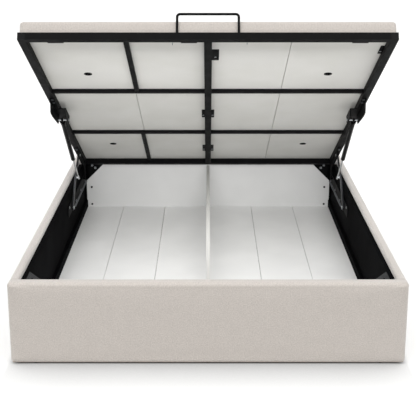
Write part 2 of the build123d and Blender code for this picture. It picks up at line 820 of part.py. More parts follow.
def make_strut_brackets():
    """Channels under the side tubes, and the pins that carry the struts' upper eyes."""
    outer = lining_inner - hinge_plate_side_gap
    inner = outer - bracket_width
    with BuildPart() as brackets:
        for side in (-1, 1):
            with BuildSketch(lid_plane.offset(-bracket_wall)):
                with BuildLine():
                    Polyline(
                        (side * outer, -bracket_rear),
                        (side * inner, -bracket_rear),
                        (side * inner, -bracket_inner_front),
                        (side * inner_half_width, -bracket_inner_front),
                        (side * inner_half_width, -bracket_front),
                        (side * outer, -bracket_front),
                        close=True,
                    )
                make_face()
            extrude(amount=bracket_wall)
            outer_low = min(side * outer, side * (outer - bracket_wall))
            inner_low = min(side * inner, side * (inner + bracket_wall))
            for low, cheek in ((outer_low, bracket_outer_cheek), (inner_low, bracket_inner_cheek)):
                outline = [(-strut_along - along, -below) for along, below in cheek]
                with BuildSketch(lid_side_plane(low)):
                    with BuildLine():
                        Polyline(*outline, close=True)
                    make_face()
                    with Locations((-strut_along, -strut_below)):
                        Circle(bolt_radius + running_clearance, mode=Mode.SUBTRACT)
                extrude(amount=bracket_wall)
            for along in bracket_bolt_places():
                with BuildSketch(lid_plane.offset(-bracket_wall)):
                    with Locations((side * bolt_row_x, -along)):
                        Circle(bolt_radius + running_clearance)
                extrude(amount=bracket_wall, mode=Mode.SUBTRACT)
    save(brackets.part, "strut_brackets")

    with BuildPart() as pins:
        for side in (-1, 1):
            outer = lining_inner - hinge_plate_side_gap
            inner = outer - bracket_width
            add_x_rod(side * (inner - bolt_head_height), side * outer, strut_y, strut_z, bolt_radius)
            add_x_rod(side * (inner - bolt_head_height), side * inner, strut_y, strut_z, bolt_head_radius)
    save(pins.part, "strut_pins")


def bracket_bolt_places():
    """Distances from the lid's rear edge of the bolts through each strut bracket."""
    return bracket_front - 2 * bolt_head_radius, bracket_front - tube_size - 4 * bolt_head_radius


# Lid


def make_tube(boxes, height):
    """A group of rectangular tubes, each given by its two corners in the lid's plane."""
    with BuildPart(lid_plane) as tube:
        for x_low, x_high, along_low, along_high in boxes:
            add_lid_box(x_low, x_high, along_low, along_high, tube_size - height, tube_size)
        for x_low, x_high, along_low, along_high in boxes:
            bore_low, bore_high = tube_size - height + tube_wall, tube_size - tube_wall
            if x_high - x_low > along_high - along_low:
                add_lid_box(x_low - overrun, x_high + overrun, along_low + tube_wall, along_high - tube_wall,
                            bore_low, bore_high, Mode.SUBTRACT)
            else:
                add_lid_box(x_low + tube_wall, x_high - tube_wall, along_low - overrun, along_high + overrun,
                            bore_low, bore_high, Mode.SUBTRACT)
    return tube.part


def make_frame_tubes():
    """Front, rear and side tubes, and the plastic caps in the side tubes' ends."""
    front_box = (-inner_half_width, inner_half_width, lid_length - tube_size, lid_length)
    front_stock = make_tube([front_box], tube_size)
    bar_along = lid_length - bar_front_inset
    with BuildPart() as front:
        add(front_stock)
        with BuildSketch(lid_plane.offset(tube_size - tube_wall - overrun)):
            with Locations((-bar_span / 2, -bar_along), (bar_span / 2, -bar_along)):
                Circle(bar_rod_radius + running_clearance)
        extrude(amount=tube_wall + 2 * overrun, mode=Mode.SUBTRACT)
    save(front.part, "front_tube")

    rear_stock = make_tube([(-inner_half_width, inner_half_width, 0, tube_size)], tube_size)
    with BuildPart() as rear:
        add(rear_stock)
        with BuildSketch(lid_plane.offset(-overrun)):
            for x, along in hinge_bolt_places()[1:]:
                with Locations((-x, -along), (x, -along)):
                    Circle(bolt_radius + running_clearance)
        extrude(amount=tube_wall + 2 * overrun, mode=Mode.SUBTRACT)
    save(rear.part, "rear_tube")

    for label, side in (("left", -1), ("right", 1)):
        faces = (side * inner_half_width, side * lid_half_width)
        box = (min(faces), max(faces), end_cap_lip, lid_length - end_cap_lip)
        stock = make_tube([box], tube_size)
        bolt_x, bolt_along = hinge_bolt_places()[0]
        places = [(bolt_x, bolt_along)] + [(bolt_row_x, along) for along in bracket_bolt_places()]
        with BuildPart() as tube:
            add(stock)
            with BuildSketch(lid_plane.offset(-overrun)):
                with Locations(*[(side * x, -along) for x, along in places]):
                    Circle(bolt_radius + running_clearance)
            extrude(amount=tube_wall + 2 * overrun, mode=Mode.SUBTRACT)
        save(tube.part, f"{label}_side_tube")

    bore = tube_size - 2 * tube_wall - 2 * running_clearance
    with BuildPart(lid_plane) as caps:
        for side in (-1, 1):
            middle = side * (lid_half_width - tube_size / 2)
            low, high = middle - tube_size / 2, middle + tube_size / 2
            plug_low, plug_high = middle - bore / 2, middle + bore / 2
            floor = tube_wall + running_clearance
            front_face = lid_length - end_cap_lip
            add_lid_box(low, high, 0, end_cap_lip, 0, tube_size)
            add_lid_box(plug_low, plug_high, end_cap_lip, end_cap_lip + end_cap_depth, floor, floor + bore)
            add_lid_box(low, high, front_face, lid_length, 0, tube_size)
            add_lid_box(plug_low, plug_high, front_face - end_cap_depth, front_face, floor, floor + bore)
    save(caps.part, "tube_end_caps")


def make_inner_bars():
    """Centre bar, the crossbars on each side of it and the two short bars on the left."""
    half_bar = centre_bar_width / 2
    front_end = lid_length - tube_size
    centre = make_tube([(-half_bar, half_bar, tube_size, front_end)], tube_size)
    save(centre, "centre_bar")

    cross = []
    for share in cross_tube_shares:
        low = share * lid_length
        high = low + cross_tube_width
        cross += [(-inner_half_width, -half_bar, low, high), (half_bar, inner_half_width, low, high)]
    save(make_tube(cross, cross_tube_height), "cross_tubes")

    rear_bay_end = cross_tube_shares[0] * lid_length
    front_bay_start = cross_tube_shares[1] * lid_length + cross_tube_width
    half = short_bar_width / 2
    front_x, rear_x = short_bar_places
    short = [
        (-front_x - half, -front_x + half, front_bay_start, front_end),
        (-rear_x - half, -rear_x + half, tube_size, rear_bay_end),
    ]
    save(make_tube(short, short_bar_height), "short_bars")


def clip_boxes():
    """Steel clips and tabs that hold the boards: x span and distances from the lid's rear edge."""
    half_bar = centre_bar_width / 2
    front_end = lid_length - tube_size
    spans = []
    for share in centre_clip_shares:
        low = share * lid_length
        spans.append((-half_bar - clip_width, -half_bar, low, low + clip_length))
        spans.append((half_bar, half_bar + clip_width, low, low + clip_length))
    low = front_clip_share * lid_length
    spans.append((half_bar, half_bar + front_clip_width, low, low + clip_length))
    low = side_tab_share * lid_length
    spans.append((inner_half_width - clip_width, inner_half_width, low, low + side_tab_length))
    for share in front_tab_shares:
        middle = share * lid_half_width
        spans.append((middle - front_tab_width / 2, middle + front_tab_width / 2, front_end - front_tab_depth,
                      front_end))
    return spans


def clip_screw_places():
    """X and distance from the rear edge of the screw in each clip, a third along it."""
    return [((a + b) / 2, low + (high - low) / 3) for a, b, low, high in clip_boxes()]


def tip_screw_spots():
    """X and distance from the rear edge of the screws whose tips come through the boards."""
    return [(x, lid_length - tip_screw_back) for x in tip_screw_places]


def vent_places():
    """X and distance from the rear edge of the four vent holes."""
    return [(side * vent_side, share * lid_length) for side in (-1, 1) for share in vent_shares]


def make_boards():
    """Four lid boards with their vent holes, clips, screws and vent rims."""
    half_gap = board_gap / 2
    outer = platform_half_width - platform_wall - pad_edge_gap
    low = platform_rear_inset + platform_wall + pad_edge_gap
    high = lid_length - platform_front_inset - platform_wall - pad_edge_gap
    spans = {
        "left_outer": (-outer, -board_joint - half_gap),
        "left_inner": (-board_joint + half_gap, -half_gap),
        "right_inner": (half_gap, board_joint - half_gap),
        "right_outer": (board_joint + half_gap, outer),
    }
    for label, (x_low, x_high) in spans.items():
        vents = [(x, along) for x, along in vent_places() if x_low < x < x_high]
        screws = [(x, along) for x, along in clip_screw_places() if x_low < x < x_high]
        tips = [(x, along) for x, along in tip_screw_spots() if x_low < x < x_high]
        with BuildPart(lid_plane) as board:
            add_lid_box(x_low, x_high, low, high, tube_size, board_top)
            with Locations(*[(x, -along, tube_size) for x, along in vents]):
                if vents:
                    Cylinder(vent_radius + running_clearance, 2 * board_thickness + 2 * overrun,
                             mode=Mode.SUBTRACT)
            with Locations(*[(x, -along, tube_size) for x, along in screws]):
                if screws:
                    Cylinder(screw_radius + running_clearance, 2 * screw_length, mode=Mode.SUBTRACT)
            with Locations(*[(x, -along, board_top) for x, along in tips]):
                if tips:
                    Cylinder(screw_radius + running_clearance, 4 * board_thickness, mode=Mode.SUBTRACT)
                    Cylinder(screw_head_radius + running_clearance, 2 * screw_head_height, mode=Mode.SUBTRACT)
        save(board.part, f"lid_board_{label}")

    with BuildPart(lid_plane) as rims:
        with Locations(*[(x, -along, tube_size - vent_rim_height) for x, along in vent_places()]):
            base = (Align.CENTER, Align.CENTER, Align.MIN)
            Cylinder(vent_radius + vent_rim, vent_rim_height, align=base)
            Cylinder(vent_radius, vent_rim_height + board_thickness, align=base)
            Cylinder(vent_radius - vent_rim, vent_rim_height + board_thickness, align=base,
                     mode=Mode.SUBTRACT)
    save(rims.part, "vent_rims")

    clip_low = tube_size - clip_thickness
    with BuildPart(lid_plane) as clips:
        for x_low, x_high, along_low, along_high in clip_boxes():
            add_lid_box(x_low, x_high, along_low, along_high, clip_low, tube_size)
        with Locations(*[(x, -along, tube_size) for x, along in clip_screw_places()]):
            Cylinder(screw_radius + running_clearance, 4 * clip_thickness, mode=Mode.SUBTRACT)
    save(clips.part, "board_clips")

    with BuildPart(lid_plane) as screws:
        with Locations(*[(x, -along, clip_low) for x, along in clip_screw_places()]):
            Cylinder(screw_head_radius, screw_head_height, align=(Align.CENTER, Align.CENTER, Align.MAX))
            Cylinder(screw_radius, screw_length, align=(Align.CENTER, Align.CENTER, Align.MIN))
        with Locations(*[(x, -along, board_top) for x, along in tip_screw_spots()]):
            Cylinder(screw_head_radius, screw_head_height, align=(Align.CENTER, Align.CENTER, Align.MAX))
            Cylinder(screw_radius, board_thickness + tip_screw_reach - tip_screw_point,
                     align=(Align.CENTER, Align.CENTER, Align.MAX))
        with Locations(*[(x, -along, tube_size - tip_screw_reach) for x, along in tip_screw_spots()]):
            Cone(tip_screw_end_radius, screw_radius, tip_screw_point,
                 align=(Align.CENTER, Align.CENTER, Align.MIN))
    save(screws.part, "lid_screws")


def make_lid_bolts():
    """Bolts that hold the hinge plates and the strut brackets to the tubes."""
    places = list(hinge_bolt_places()) + [(bolt_row_x, along) for along in bracket_bolt_places()]
    with BuildPart(lid_plane) as bolts:
        with Locations(*[(side * x, -along, -plate_thickness) for side in (-1, 1) for x, along in places]):
            Cylinder(bolt_head_radius, bolt_head_height, align=(Align.CENTER, Align.CENTER, Align.MAX))
            Cylinder(bolt_radius, plate_thickness + tube_size / 2,
                     align=(Align.CENTER, Align.CENTER, Align.MIN))
    save(bolts.part, "lid_bolts")


def platform_section(inset, height):
    """Plane and size of one level of the platform's cover."""
    width = 2 * (platform_half_width - inset)
    length = lid_length - platform_front_inset - platform_rear_inset - 2 * inset
    middle = platform_rear_inset + inset + length / 2
    return middle, width, length, tube_size + height


def make_platform():
    """Foam pad over the boards, and the fabric cover that wraps pad and boards."""
    edge = platform_half_width - platform_wall
    low = platform_rear_inset + platform_wall
    high = lid_length - platform_front_inset - platform_wall
    pad_top = tube_size + platform_height - platform_wall / 2
    with BuildPart(lid_plane) as pad:
        add_lid_box(-edge + pad_edge_gap, edge - pad_edge_gap, low + pad_edge_gap, high - pad_edge_gap,
                    board_top, pad_top)
    save(pad.part, "platform_pad")

    level_shares = ((0.08, 0), (0.02, 0.3), (0, 0.55), (0.07, 0.8), (0.26, 0.95), (0.8, 1))
    levels = [(inset * platform_height, height * platform_height) for inset, height in level_shares]
    levels.append((platform_crown_run, platform_height + platform_crown))
    with BuildPart() as cover:
        for inset, height in levels:
            middle, width, length, level = platform_section(inset, height)
            radius = platform_corner_radius
            with BuildSketch(lid_plane.offset(level)):
                with Locations((0, -middle)):
                    RectangleRounded(width, length, radius)
        loft(ruled=True)
        with BuildSketch(lid_plane.offset(tube_size)):
            with Locations((0, -(low + high) / 2)):
                Rectangle(2 * edge, high - low)
        extrude(amount=pad_top - tube_size, mode=Mode.SUBTRACT)
    save(cover.part, "platform_cover")


def make_mattress_bar():
    """Bent rod that stops the mattress from sliding when the lid is up."""
    half = bar_span / 2
    low = tube_size - bar_depth_in_tube
    top = tube_size + bar_rise
    bend = bar_bend_radius
    origin_y, origin_z = open_place(lid_length - bar_front_inset, 0)
    upright = Plane(origin=(0, origin_y, origin_z), x_dir=(1, 0, 0), z_dir=(0, -cosine, sine))
    foot = Plane(origin=upright.from_local_coords((-half, low, 0)), z_dir=upright.y_dir)
    with BuildPart() as bar:
        with BuildLine(upright):
            Line((-half, low), (-half, top - bend))
            RadiusArc((-half, top - bend), (-half + bend, top), bend)
            Line((-half + bend, top), (half - bend, top))
            RadiusArc((half - bend, top), (half, top - bend), bend)
            Line((half, top - bend), (half, low))
        with BuildSketch(foot):
            Circle(bar_rod_radius)
        sweep()
    save(bar.part, "mattress_bar")


def main():
    """Builds every sub-part and writes it to the parts folder."""
    os.makedirs("parts", exist_ok=True)
    make_end_rail("foot", -1, foot_inner)
    make_end_rail("head", 1, head_inner)
    make_side_rail("left", -1)
    make_side_rail("right", 1)
    make_glides()
    make_linings()
    make_floor()
    make_wall_boards()
    make_corner_plates()
    make_box_fasteners()
    make_base_plates()
    make_levers()
    make_pivot_pins()
    make_hinge_plates()
    make_struts()
    make_strut_brackets()
    make_frame_tubes()
    make_inner_bars()
    make_boards()
    make_lid_bolts()
    make_platform()
    make_mattress_bar()


main()
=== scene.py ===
"""Ottoman storage bed: upholstery, finishes, small hardware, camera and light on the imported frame.

Lengths are in metres and +Z is up. The origin lies on the floor under the middle of the bed, the
foot end faces -Y and the lid stands open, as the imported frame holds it.
"""
from __future__ import annotations

import json
import logging
import math
from dataclasses import dataclass
from enum import Enum
from typing import Any

import bpy
import numpy as np
from bpy.types import Material, Node, NodeSocket, NodeTree, Object
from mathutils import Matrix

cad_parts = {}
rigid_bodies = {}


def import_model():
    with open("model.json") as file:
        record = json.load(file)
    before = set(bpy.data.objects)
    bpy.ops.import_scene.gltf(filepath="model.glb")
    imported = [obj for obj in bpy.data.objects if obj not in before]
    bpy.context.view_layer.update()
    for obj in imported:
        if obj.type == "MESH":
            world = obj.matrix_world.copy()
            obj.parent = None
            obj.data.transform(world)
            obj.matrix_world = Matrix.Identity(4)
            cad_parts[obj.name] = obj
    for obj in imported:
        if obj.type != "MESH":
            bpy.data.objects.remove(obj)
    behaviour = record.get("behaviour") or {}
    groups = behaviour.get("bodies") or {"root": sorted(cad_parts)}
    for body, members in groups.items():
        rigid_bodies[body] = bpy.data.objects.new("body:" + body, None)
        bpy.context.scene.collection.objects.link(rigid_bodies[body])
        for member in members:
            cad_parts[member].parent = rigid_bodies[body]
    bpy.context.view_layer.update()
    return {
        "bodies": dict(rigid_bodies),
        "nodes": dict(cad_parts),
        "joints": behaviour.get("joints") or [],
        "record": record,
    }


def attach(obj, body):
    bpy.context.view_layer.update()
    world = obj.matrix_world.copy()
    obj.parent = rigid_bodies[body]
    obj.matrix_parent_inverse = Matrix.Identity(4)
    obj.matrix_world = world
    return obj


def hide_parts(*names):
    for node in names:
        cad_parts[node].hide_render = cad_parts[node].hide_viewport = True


MM = 0.001
# Keeps a division from zero.
TINY = 1e-9
QUARTER_TURN = math.pi / 2
FULL_TURN = 2 * math.pi
WHITE = (1.0, 1.0, 1.0, 1.0)
# Values between which most of a noise pattern lies.
MOST_NOISE = (0.3, 0.7)
# Last rows of a skin, at its hem, that are stapled down.
STAPLED_ROWS = 3
# Cells that a straight run of a skin has at least.
LEAST_CELLS = 2
log = logging.getLogger("bed")


# Shared helpers for colours, nodes and meshes


def linear(hex_colour: str) -> tuple[float, float, float, float]:
    """Turns an sRGB hex colour into linear light.

    Args:
        hex_colour: Colour as six hex digits, with or without a leading hash.

    Returns:
        Linear red, green and blue with an alpha of 1.
    """
    digits = hex_colour.lstrip("#")
    parts = [int(digits[i:i + 2], 16) / 255 for i in (0, 2, 4)]
    light = [c / 12.92 if c <= 0.04045 else ((c + 0.055) / 1.055) ** 2.4 for c in parts]
    return (light[0], light[1], light[2], 1.0)


def assign(target: Any, **values: Any) -> None:
    """Sets properties of a node, modifier, light or object by their names."""
    for name, value in values.items():
        setattr(target, name, value)


def empty_tree(owner: Material | bpy.types.World) -> NodeTree:
    """Gives the emptied node tree of a material or world.

    Args:
        owner: Material or world whose nodes are turned on.

    Returns:
        Its node tree, without a node.
    """
    owner.use_nodes = True
    owner.node_tree.nodes.clear()
    return owner.node_tree


def add_node(tree: NodeTree, kind: str, inputs: dict | None = None, **settings: Any) -> Node:
    """Adds a node with its settings and links.

    Args:
        tree: Node tree that takes the node.
        kind: Node type, such as ShaderNodeTexNoise.
        inputs: Value, socket or node for each input, by the input's name, or by its number where
            names repeat. A node stands for its first output in use.
        settings: Node properties by name.

    Returns:
        The new node.
    """
    node = tree.nodes.new(kind)
    assign(node, **settings)
    named = {socket.name: socket for socket in node.inputs if socket.enabled}
    for key, value in (inputs or {}).items():
        socket = named[key] if isinstance(key, str) else node.inputs[key]
        if isinstance(value, Node):
            value = next(output for output in value.outputs if output.enabled)
        if isinstance(value, NodeSocket):
            tree.links.new(value, socket)
        else:
            socket.default_value = value
    return node


def tint(tree: NodeTree, base: Any, second: Any, pattern: Any,
         window: tuple[float, float], shares: tuple[float, float] = (0.0, 1.0)) -> Node:
    """Lays a second colour over a base where a pattern is high.

    Args:
        tree: Node tree that takes the nodes.
        base: Colour of the base, or its node.
        second: Colour that is laid over it, or its node.
        pattern: Node or socket of the pattern.
        window: Values of the pattern between which the second colour comes in smoothly.
        shares: Share of the second colour before and after the window.

    Returns:
        The node of the tinted colour.
    """
    share = add_node(tree, "ShaderNodeMapRange", {
        "Value": pattern, "From Min": window[0], "From Max": window[1],
        "To Min": shares[0], "To Max": shares[1]}, interpolation_type="SMOOTHSTEP")
    return add_node(tree, "ShaderNodeMix", {"Factor": share, "A": base, "B": second},
                    data_type="RGBA")


def shade(tree: NodeTree, colour: Any, pattern: Any, window: tuple[float, float],
          tones: tuple[float, float]) -> Node:
    """Multiplies a colour by a tone that follows a pattern.

    Args:
        tree: Node tree that takes the nodes.
        colour: Colour that is shaded, or its node.
        pattern: Node or socket of the pattern.
        window: Values of the pattern between which the tone changes smoothly.
        tones: Tone before and after the window, where 1 leaves the colour alone.

    Returns:
        The node of the shaded colour.
    """
    tone = add_node(tree, "ShaderNodeMapRange", {
        "Value": pattern, "From Min": window[0], "From Max": window[1],
        "To Min": tones[0], "To Max": tones[1]}, interpolation_type="SMOOTHSTEP")
    return add_node(tree, "ShaderNodeMix", {"Factor": 1.0, "A": colour, "B": tone},
                    data_type="RGBA", blend_type="MULTIPLY")


def per_metre(size_mm: float) -> float:
    """Texture scale whose features repeat about every size_mm millimetres."""
    return 1000 / size_mm


def put_in_scene(name: str, data: bpy.types.ID, **settings: Any) -> Object:
    """Makes an object of a mesh, light or camera.

    Args:
        name: Name of the object.
        data: Its mesh, light or camera.
        settings: Object properties by name.

    Returns:
        The object, linked to the scene.
    """
    thing = bpy.data.objects.new(name, data)
    assign(thing, **settings)
    bpy.context.scene.collection.objects.link(thing)
    return thing


def make_piece(name: str, points: np.ndarray, faces: np.ndarray | list,
               material: Material) -> Object:
    """Makes a smooth-shaded mesh object at the origin.

    Args:
        name: Name of the piece.
        points: World places, one row each.
        faces: Corner numbers of each face.
        material: Finish of the whole piece.

    Returns:
        The object, linked to the scene.
    """
    mesh = bpy.data.meshes.new(name)
    mesh.from_pydata(points.tolist(), [], faces if isinstance(faces, list) else faces.tolist())
    mesh.materials.append(material)
    mesh.shade_smooth()
    mesh.update()
    return put_in_scene(name, mesh)


def declare(piece: Object, body: str, nodes: tuple[str, ...] = ()) -> None:
    """Says what a piece rides on and stands for.

    Args:
        piece: The new piece.
        body: Body that it rides on.
        nodes: CAD nodes that it replaces.
    """
    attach(piece, body)
    if nodes:
        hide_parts(*nodes)
    log.info("%s rides on %s", piece.name, body)


def read_field(rows: bpy.types.bpy_prop_collection, field: str, width: int = 1,
               kind: type = np.float32) -> np.ndarray:
    """Reads a field of a mesh's vertices, corners or faces as one array.

    Args:
        rows: The vertices, corners or faces.
        field: Name of the field.
        width: Numbers in one row.
        kind: Type of the numbers.

    Returns:
        The numbers, one row each where a row has several.
    """
    values = np.empty(len(rows) * width, kind)
    rows.foreach_get(field, values)
    return values.reshape(-1, width) if width > 1 else values


def grid_faces(rows: int, columns: int, closed: bool = False) -> np.ndarray:
    """Quads between neighbouring rows of a grid whose corners are numbered row by row.

    Args:
        rows: Number of rows.
        columns: Number of places in a row.
        closed: Whether each row runs back to its first place.

    Returns:
        One quad per row, with rows downwards and columns to the right seen from outside.
    """
    column = np.arange(columns if closed else columns - 1)
    after = (column + 1) % columns
    start = np.arange(rows - 1)[:, None] * columns
    quads = [start + column, start + columns + column, start + columns + after, start + after]
    return np.stack(quads, -1).reshape(-1, 4)


# Finishes


@dataclass(frozen=True)
class Finish:
    """A finish on a real material; each kind below draws its own pattern.

    The relief is the strength of the bump and relief_mm its depth. The pattern of the relief is
    high on the tops, or where high_in_hollows is set, in the hollows.
    """

    name: str
    colour: str
    roughness: float
    specular: float = 0.5
    relief: float = 0.3
    relief_mm: float = 0.08
    high_in_hollows: bool = False

    def pattern(self, tree: NodeTree) -> tuple[Node, dict[str, Any]]:
        """Draws the pattern of this kind of finish.

        Args:
            tree: Node tree that takes the nodes.

        Returns:
            The node that the relief follows, and the shader's inputs by name.
        """
        raise NotImplementedError

    def build(self) -> Material:
        """Makes the material: one shader with the relief and the inputs of the pattern.

        Returns:
            The material.
        """
        material = bpy.data.materials.new(self.name)
        tree = empty_tree(material)
        height, inputs = self.pattern(tree)
        bump = add_node(tree, "ShaderNodeBump", {
            "Height": height, "Strength": self.relief, "Distance": self.relief_mm * MM},
            invert=self.high_in_hollows)
        shader = add_node(tree, "ShaderNodeBsdfPrincipled", {
            "Roughness": self.roughness, "Specular IOR Level": self.specular,
            "Normal": bump, **inputs})
        add_node(tree, "ShaderNodeOutputMaterial", {"Surface": shader})
        return material


@dataclass(frozen=True)
class ChenilleCloth(Finish):
    """Woven chenille: dense short pile on fine yarn, so it is soft and dull with a pale bloom.

    The pile stands in tufts, which give a fine grain, with painted shade in the hollows between them
    and paler tops; brushed patches lie a little lighter or darker; and the pile's tips catch light
    where the cloth is seen at a low angle.
    """

    specular: float = 0.15
    relief: float = 0.4
    relief_mm: float = 0.7
    high_in_hollows: bool = True
    pale_pile: str = "#d3ccc6"
    deep_pile: str = "#b4aca6"
    fleck_share: float = 0.45
    # Real tufts stand about 1.5 mm apart; they are drawn twice as coarse, so that they show.
    tuft_mm: float = 3.2
    fleck_mm: float = 5.0
    brushed_mm: float = 42.0
    bloom: float = 1.0
    bloom_roughness: float = 0.45

    def pattern(self, tree: NodeTree) -> tuple[Node, dict[str, Any]]:
        """Draws tufts with painted shade between them, flecks and brushed patches on the piece's own
        cloth map, in metres.

        Args:
            tree: Node tree that takes the nodes.

        Returns:
            The tufts, and the shader's inputs by name.
        """
        cloth = add_node(tree, "ShaderNodeUVMap", uv_map="cloth")
        tufts = add_node(tree, "ShaderNodeTexVoronoi", {
            "Vector": cloth, "Scale": per_metre(self.tuft_mm), "Randomness": 0.9})
        fleck = add_node(tree, "ShaderNodeTexNoise", {
            "Vector": cloth, "Scale": per_metre(self.fleck_mm), "Detail": 2.0})
        brushed = add_node(tree, "ShaderNodeTexNoise", {
            "Vector": cloth, "Scale": per_metre(self.brushed_mm), "Detail": 3.0})
        pile = tint(tree, linear(self.deep_pile), linear(self.pale_pile), fleck, MOST_NOISE)
        tone = add_node(tree, "ShaderNodeMix", {
            "Factor": self.fleck_share, "A": linear(self.colour), "B": pile}, data_type="RGBA")
        tone = shade(tree, tone, brushed, MOST_NOISE, (0.985, 1.012))
        # Painted shade: darker in the hollows between tufts, a little paler on their tops.
        tone = shade(tree, tone, tufts, (0.2, 0.8), (1.02, 0.93))
        return tufts, {"Base Color": tone, "Sheen Weight": self.bloom,
                       "Sheen Roughness": self.bloom_roughness}


class Across(Enum):
    """Axis that an upright board's broad faces look along."""

    SIDEWAYS = 0
    LENGTHWAYS = 1


@dataclass(frozen=True)
class FacedBoard(Finish):
    """Melamine-faced chipboard: pressed resin paper, so it is smooth and matt with a fine grain.

    Where the board's way is given, its narrow faces carry a glossier plastic lipping, whose tone is
    painted light: paler as a painted highlight, or darker as painted shade.
    """

    specular: float = 0.4
    second: str = "#efefee"
    # The pressed grain is really under 1 mm; it is drawn coarser, so that it shows.
    grain_mm: float = 3.0
    cloud_mm: float = 240.0
    gloss_reach: tuple[float, float] = (-0.04, 0.06)
    across: Across | None = None
    # Tone of the narrow faces, which is painted light: paler than the face as a painted highlight,
    # darker as painted shade.
    lipping_painted_light: str = "#fbfbfa"
    lipping_roughness: float = 0.25

    def pattern(self, tree: NodeTree) -> tuple[Node, dict[str, Any]]:
        """Draws a faint pressed grain, a wide, weak change of tone, and the lipping with its painted
        light.

        Args:
            tree: Node tree that takes the nodes.

        Returns:
            The grain, and the shader's inputs by name.
        """
        place = add_node(tree, "ShaderNodeTexCoord").outputs["Object"]
        cloud, grain = (add_node(tree, "ShaderNodeTexNoise", {
            "Vector": place, "Scale": per_metre(size), "Detail": 2.0})
            for size in (self.cloud_mm, self.grain_mm))
        face = tint(tree, linear(self.colour), linear(self.second), cloud, MOST_NOISE)
        face = shade(tree, face, grain, (0.25, 0.75), (0.98, 1.01))
        share, window = cloud, MOST_NOISE
        ends = [self.roughness + reach for reach in self.gloss_reach]
        if self.across is not None:
            share, window = self.edge_share(tree), (0.0, 1.0)
            ends = [self.roughness, self.lipping_roughness]
            # Painted light: the narrow faces take a paler or darker tone.
            face = add_node(tree, "ShaderNodeMix", {
                "Factor": share, "A": face, "B": linear(self.lipping_painted_light)}, data_type="RGBA")
        gloss = add_node(tree, "ShaderNodeMapRange", {
            "Value": share, "From Min": window[0], "From Max": window[1],
            "To Min": ends[0], "To Max": ends[1]}, interpolation_type="SMOOTHSTEP")
        return grain, {"Base Color": face, "Roughness": gloss}

    def edge_share(self, tree: NodeTree) -> Node:
        """Gives 1 on the board's narrow faces and 0 on its broad ones.

        Args:
            tree: Node tree that takes the nodes.

        Returns:
            The node of the share.
        """
        normal = add_node(tree, "ShaderNodeTexCoord").outputs["Normal"]
        parts = add_node(tree, "ShaderNodeSeparateXYZ", {"Vector": normal})
        facing = add_node(tree, "ShaderNodeMath", {0: parts.outputs[self.across.value]},
                          operation="ABSOLUTE")
        return add_node(tree, "ShaderNodeMapRange", {
            "Value": facing, "From Min": 0.3, "From Max": 0.7, "To Min": 1.0, "To Max": 0.0},
            interpolation_type="SMOOTHSTEP")


@dataclass(frozen=True)
class RawChipboard(Finish):
    """Sawn chipboard: glued wood chips, so it is straw coloured with darker and paler flakes."""

    relief: float = 0.4
    relief_mm: float = 0.3
    flake: str = "#8c6d48"
    chip_mm: float = 5.0

    def pattern(self, tree: NodeTree) -> tuple[Node, dict[str, Any]]:
        """Draws flakes as cells of random tone with a rough sawn relief.

        Args:
            tree: Node tree that takes the nodes.

        Returns:
            The cells, and the shader's inputs by name.
        """
        place = add_node(tree, "ShaderNodeTexCoord").outputs["Object"]
        chips = add_node(tree, "ShaderNodeTexVoronoi", {
            "Vector": place, "Scale": per_metre(self.chip_mm)})
        chance = add_node(tree, "ShaderNodeSeparateColor", {"Color": chips.outputs["Color"]})
        return chips, {"Base Color": tint(tree, linear(self.colour), linear(self.flake), chance,
                                          (0.1, 0.9), (0.0, 0.7))}


@dataclass(frozen=True)
class PowderCoat(Finish):
    """Powder-coated steel: baked resin with a fine orange peel, satin and almost black.

    Where a height and a half width are given, the part below and within them gets a pale grey
    painted highlight, as on a flange's lit top.
    """

    specular: float = 0.05
    relief: float = 0.35
    relief_mm: float = 0.12
    worn: str = "#191919"
    # The real peel waves every 1 to 2 mm; it is drawn coarser, so that it shows.
    peel_mm: float = 3.5
    rub_mm: float = 70.0
    gloss_reach: tuple[float, float] = (-0.05, 0.07)
    # Pale grey painted highlight on the plate's low inner flange, where light from above falls.
    flange_highlight: str = "#7b7d80"
    highlight_below: float | None = None
    highlight_within: float = 0.0

    def pattern(self, tree: NodeTree) -> tuple[Node, dict[str, Any]]:
        """Draws the orange peel, and a slightly paler tone where hands and tools rubbed it.

        Args:
            tree: Node tree that takes the nodes.

        Returns:
            The peel, and the shader's inputs by name.
        """
        place = add_node(tree, "ShaderNodeTexCoord").outputs["Object"]
        peel = add_node(tree, "ShaderNodeTexNoise", {
            "Vector": place, "Scale": per_metre(self.peel_mm), "Detail": 1.0})
        rub = add_node(tree, "ShaderNodeTexNoise", {
            "Vector": place, "Scale": per_metre(self.rub_mm), "Detail": 4.0})
        tone = tint(tree, linear(self.colour), linear(self.worn), rub, (0.52, 0.8), (0.0, 0.5))
        # Painted highlight: the low inner flange is painted pale grey.
        if self.highlight_below is not None:
            tone = add_node(tree, "ShaderNodeMix", {
                "Factor": self.flange_highlight_share(tree, place), "A": tone, "B": linear(self.flange_highlight)},
                data_type="RGBA")
        gloss = add_node(tree, "ShaderNodeMapRange", {
            "Value": rub, "From Min": MOST_NOISE[0], "From Max": MOST_NOISE[1],
            "To Min": self.roughness + self.gloss_reach[0],
            "To Max": self.roughness + self.gloss_reach[1]}, interpolation_type="SMOOTHSTEP")
        return peel, {"Base Color": tone, "Roughness": gloss}

    def flange_highlight_share(self, tree: NodeTree, place: NodeSocket) -> Node:
        """Gives 1 on a plate's low inner flange, where the painted highlight goes.

        Args:
            tree: Node tree that takes the nodes.
            place: Object coordinates.

        Returns:
            The node of the share.
        """
        parts = add_node(tree, "ShaderNodeSeparateXYZ", {"Vector": place})
        side = add_node(tree, "ShaderNodeMath", {0: parts.outputs["X"]}, operation="ABSOLUTE")
        low = add_node(tree, "ShaderNodeMath", {0: parts.outputs["Z"], 1: self.highlight_below},
                       operation="LESS_THAN")
        near = add_node(tree, "ShaderNodeMath", {0: side, 1: self.highlight_within},
                        operation="LESS_THAN")
        return add_node(tree, "ShaderNodeMath", {0: low, 1: near}, operation="MULTIPLY")


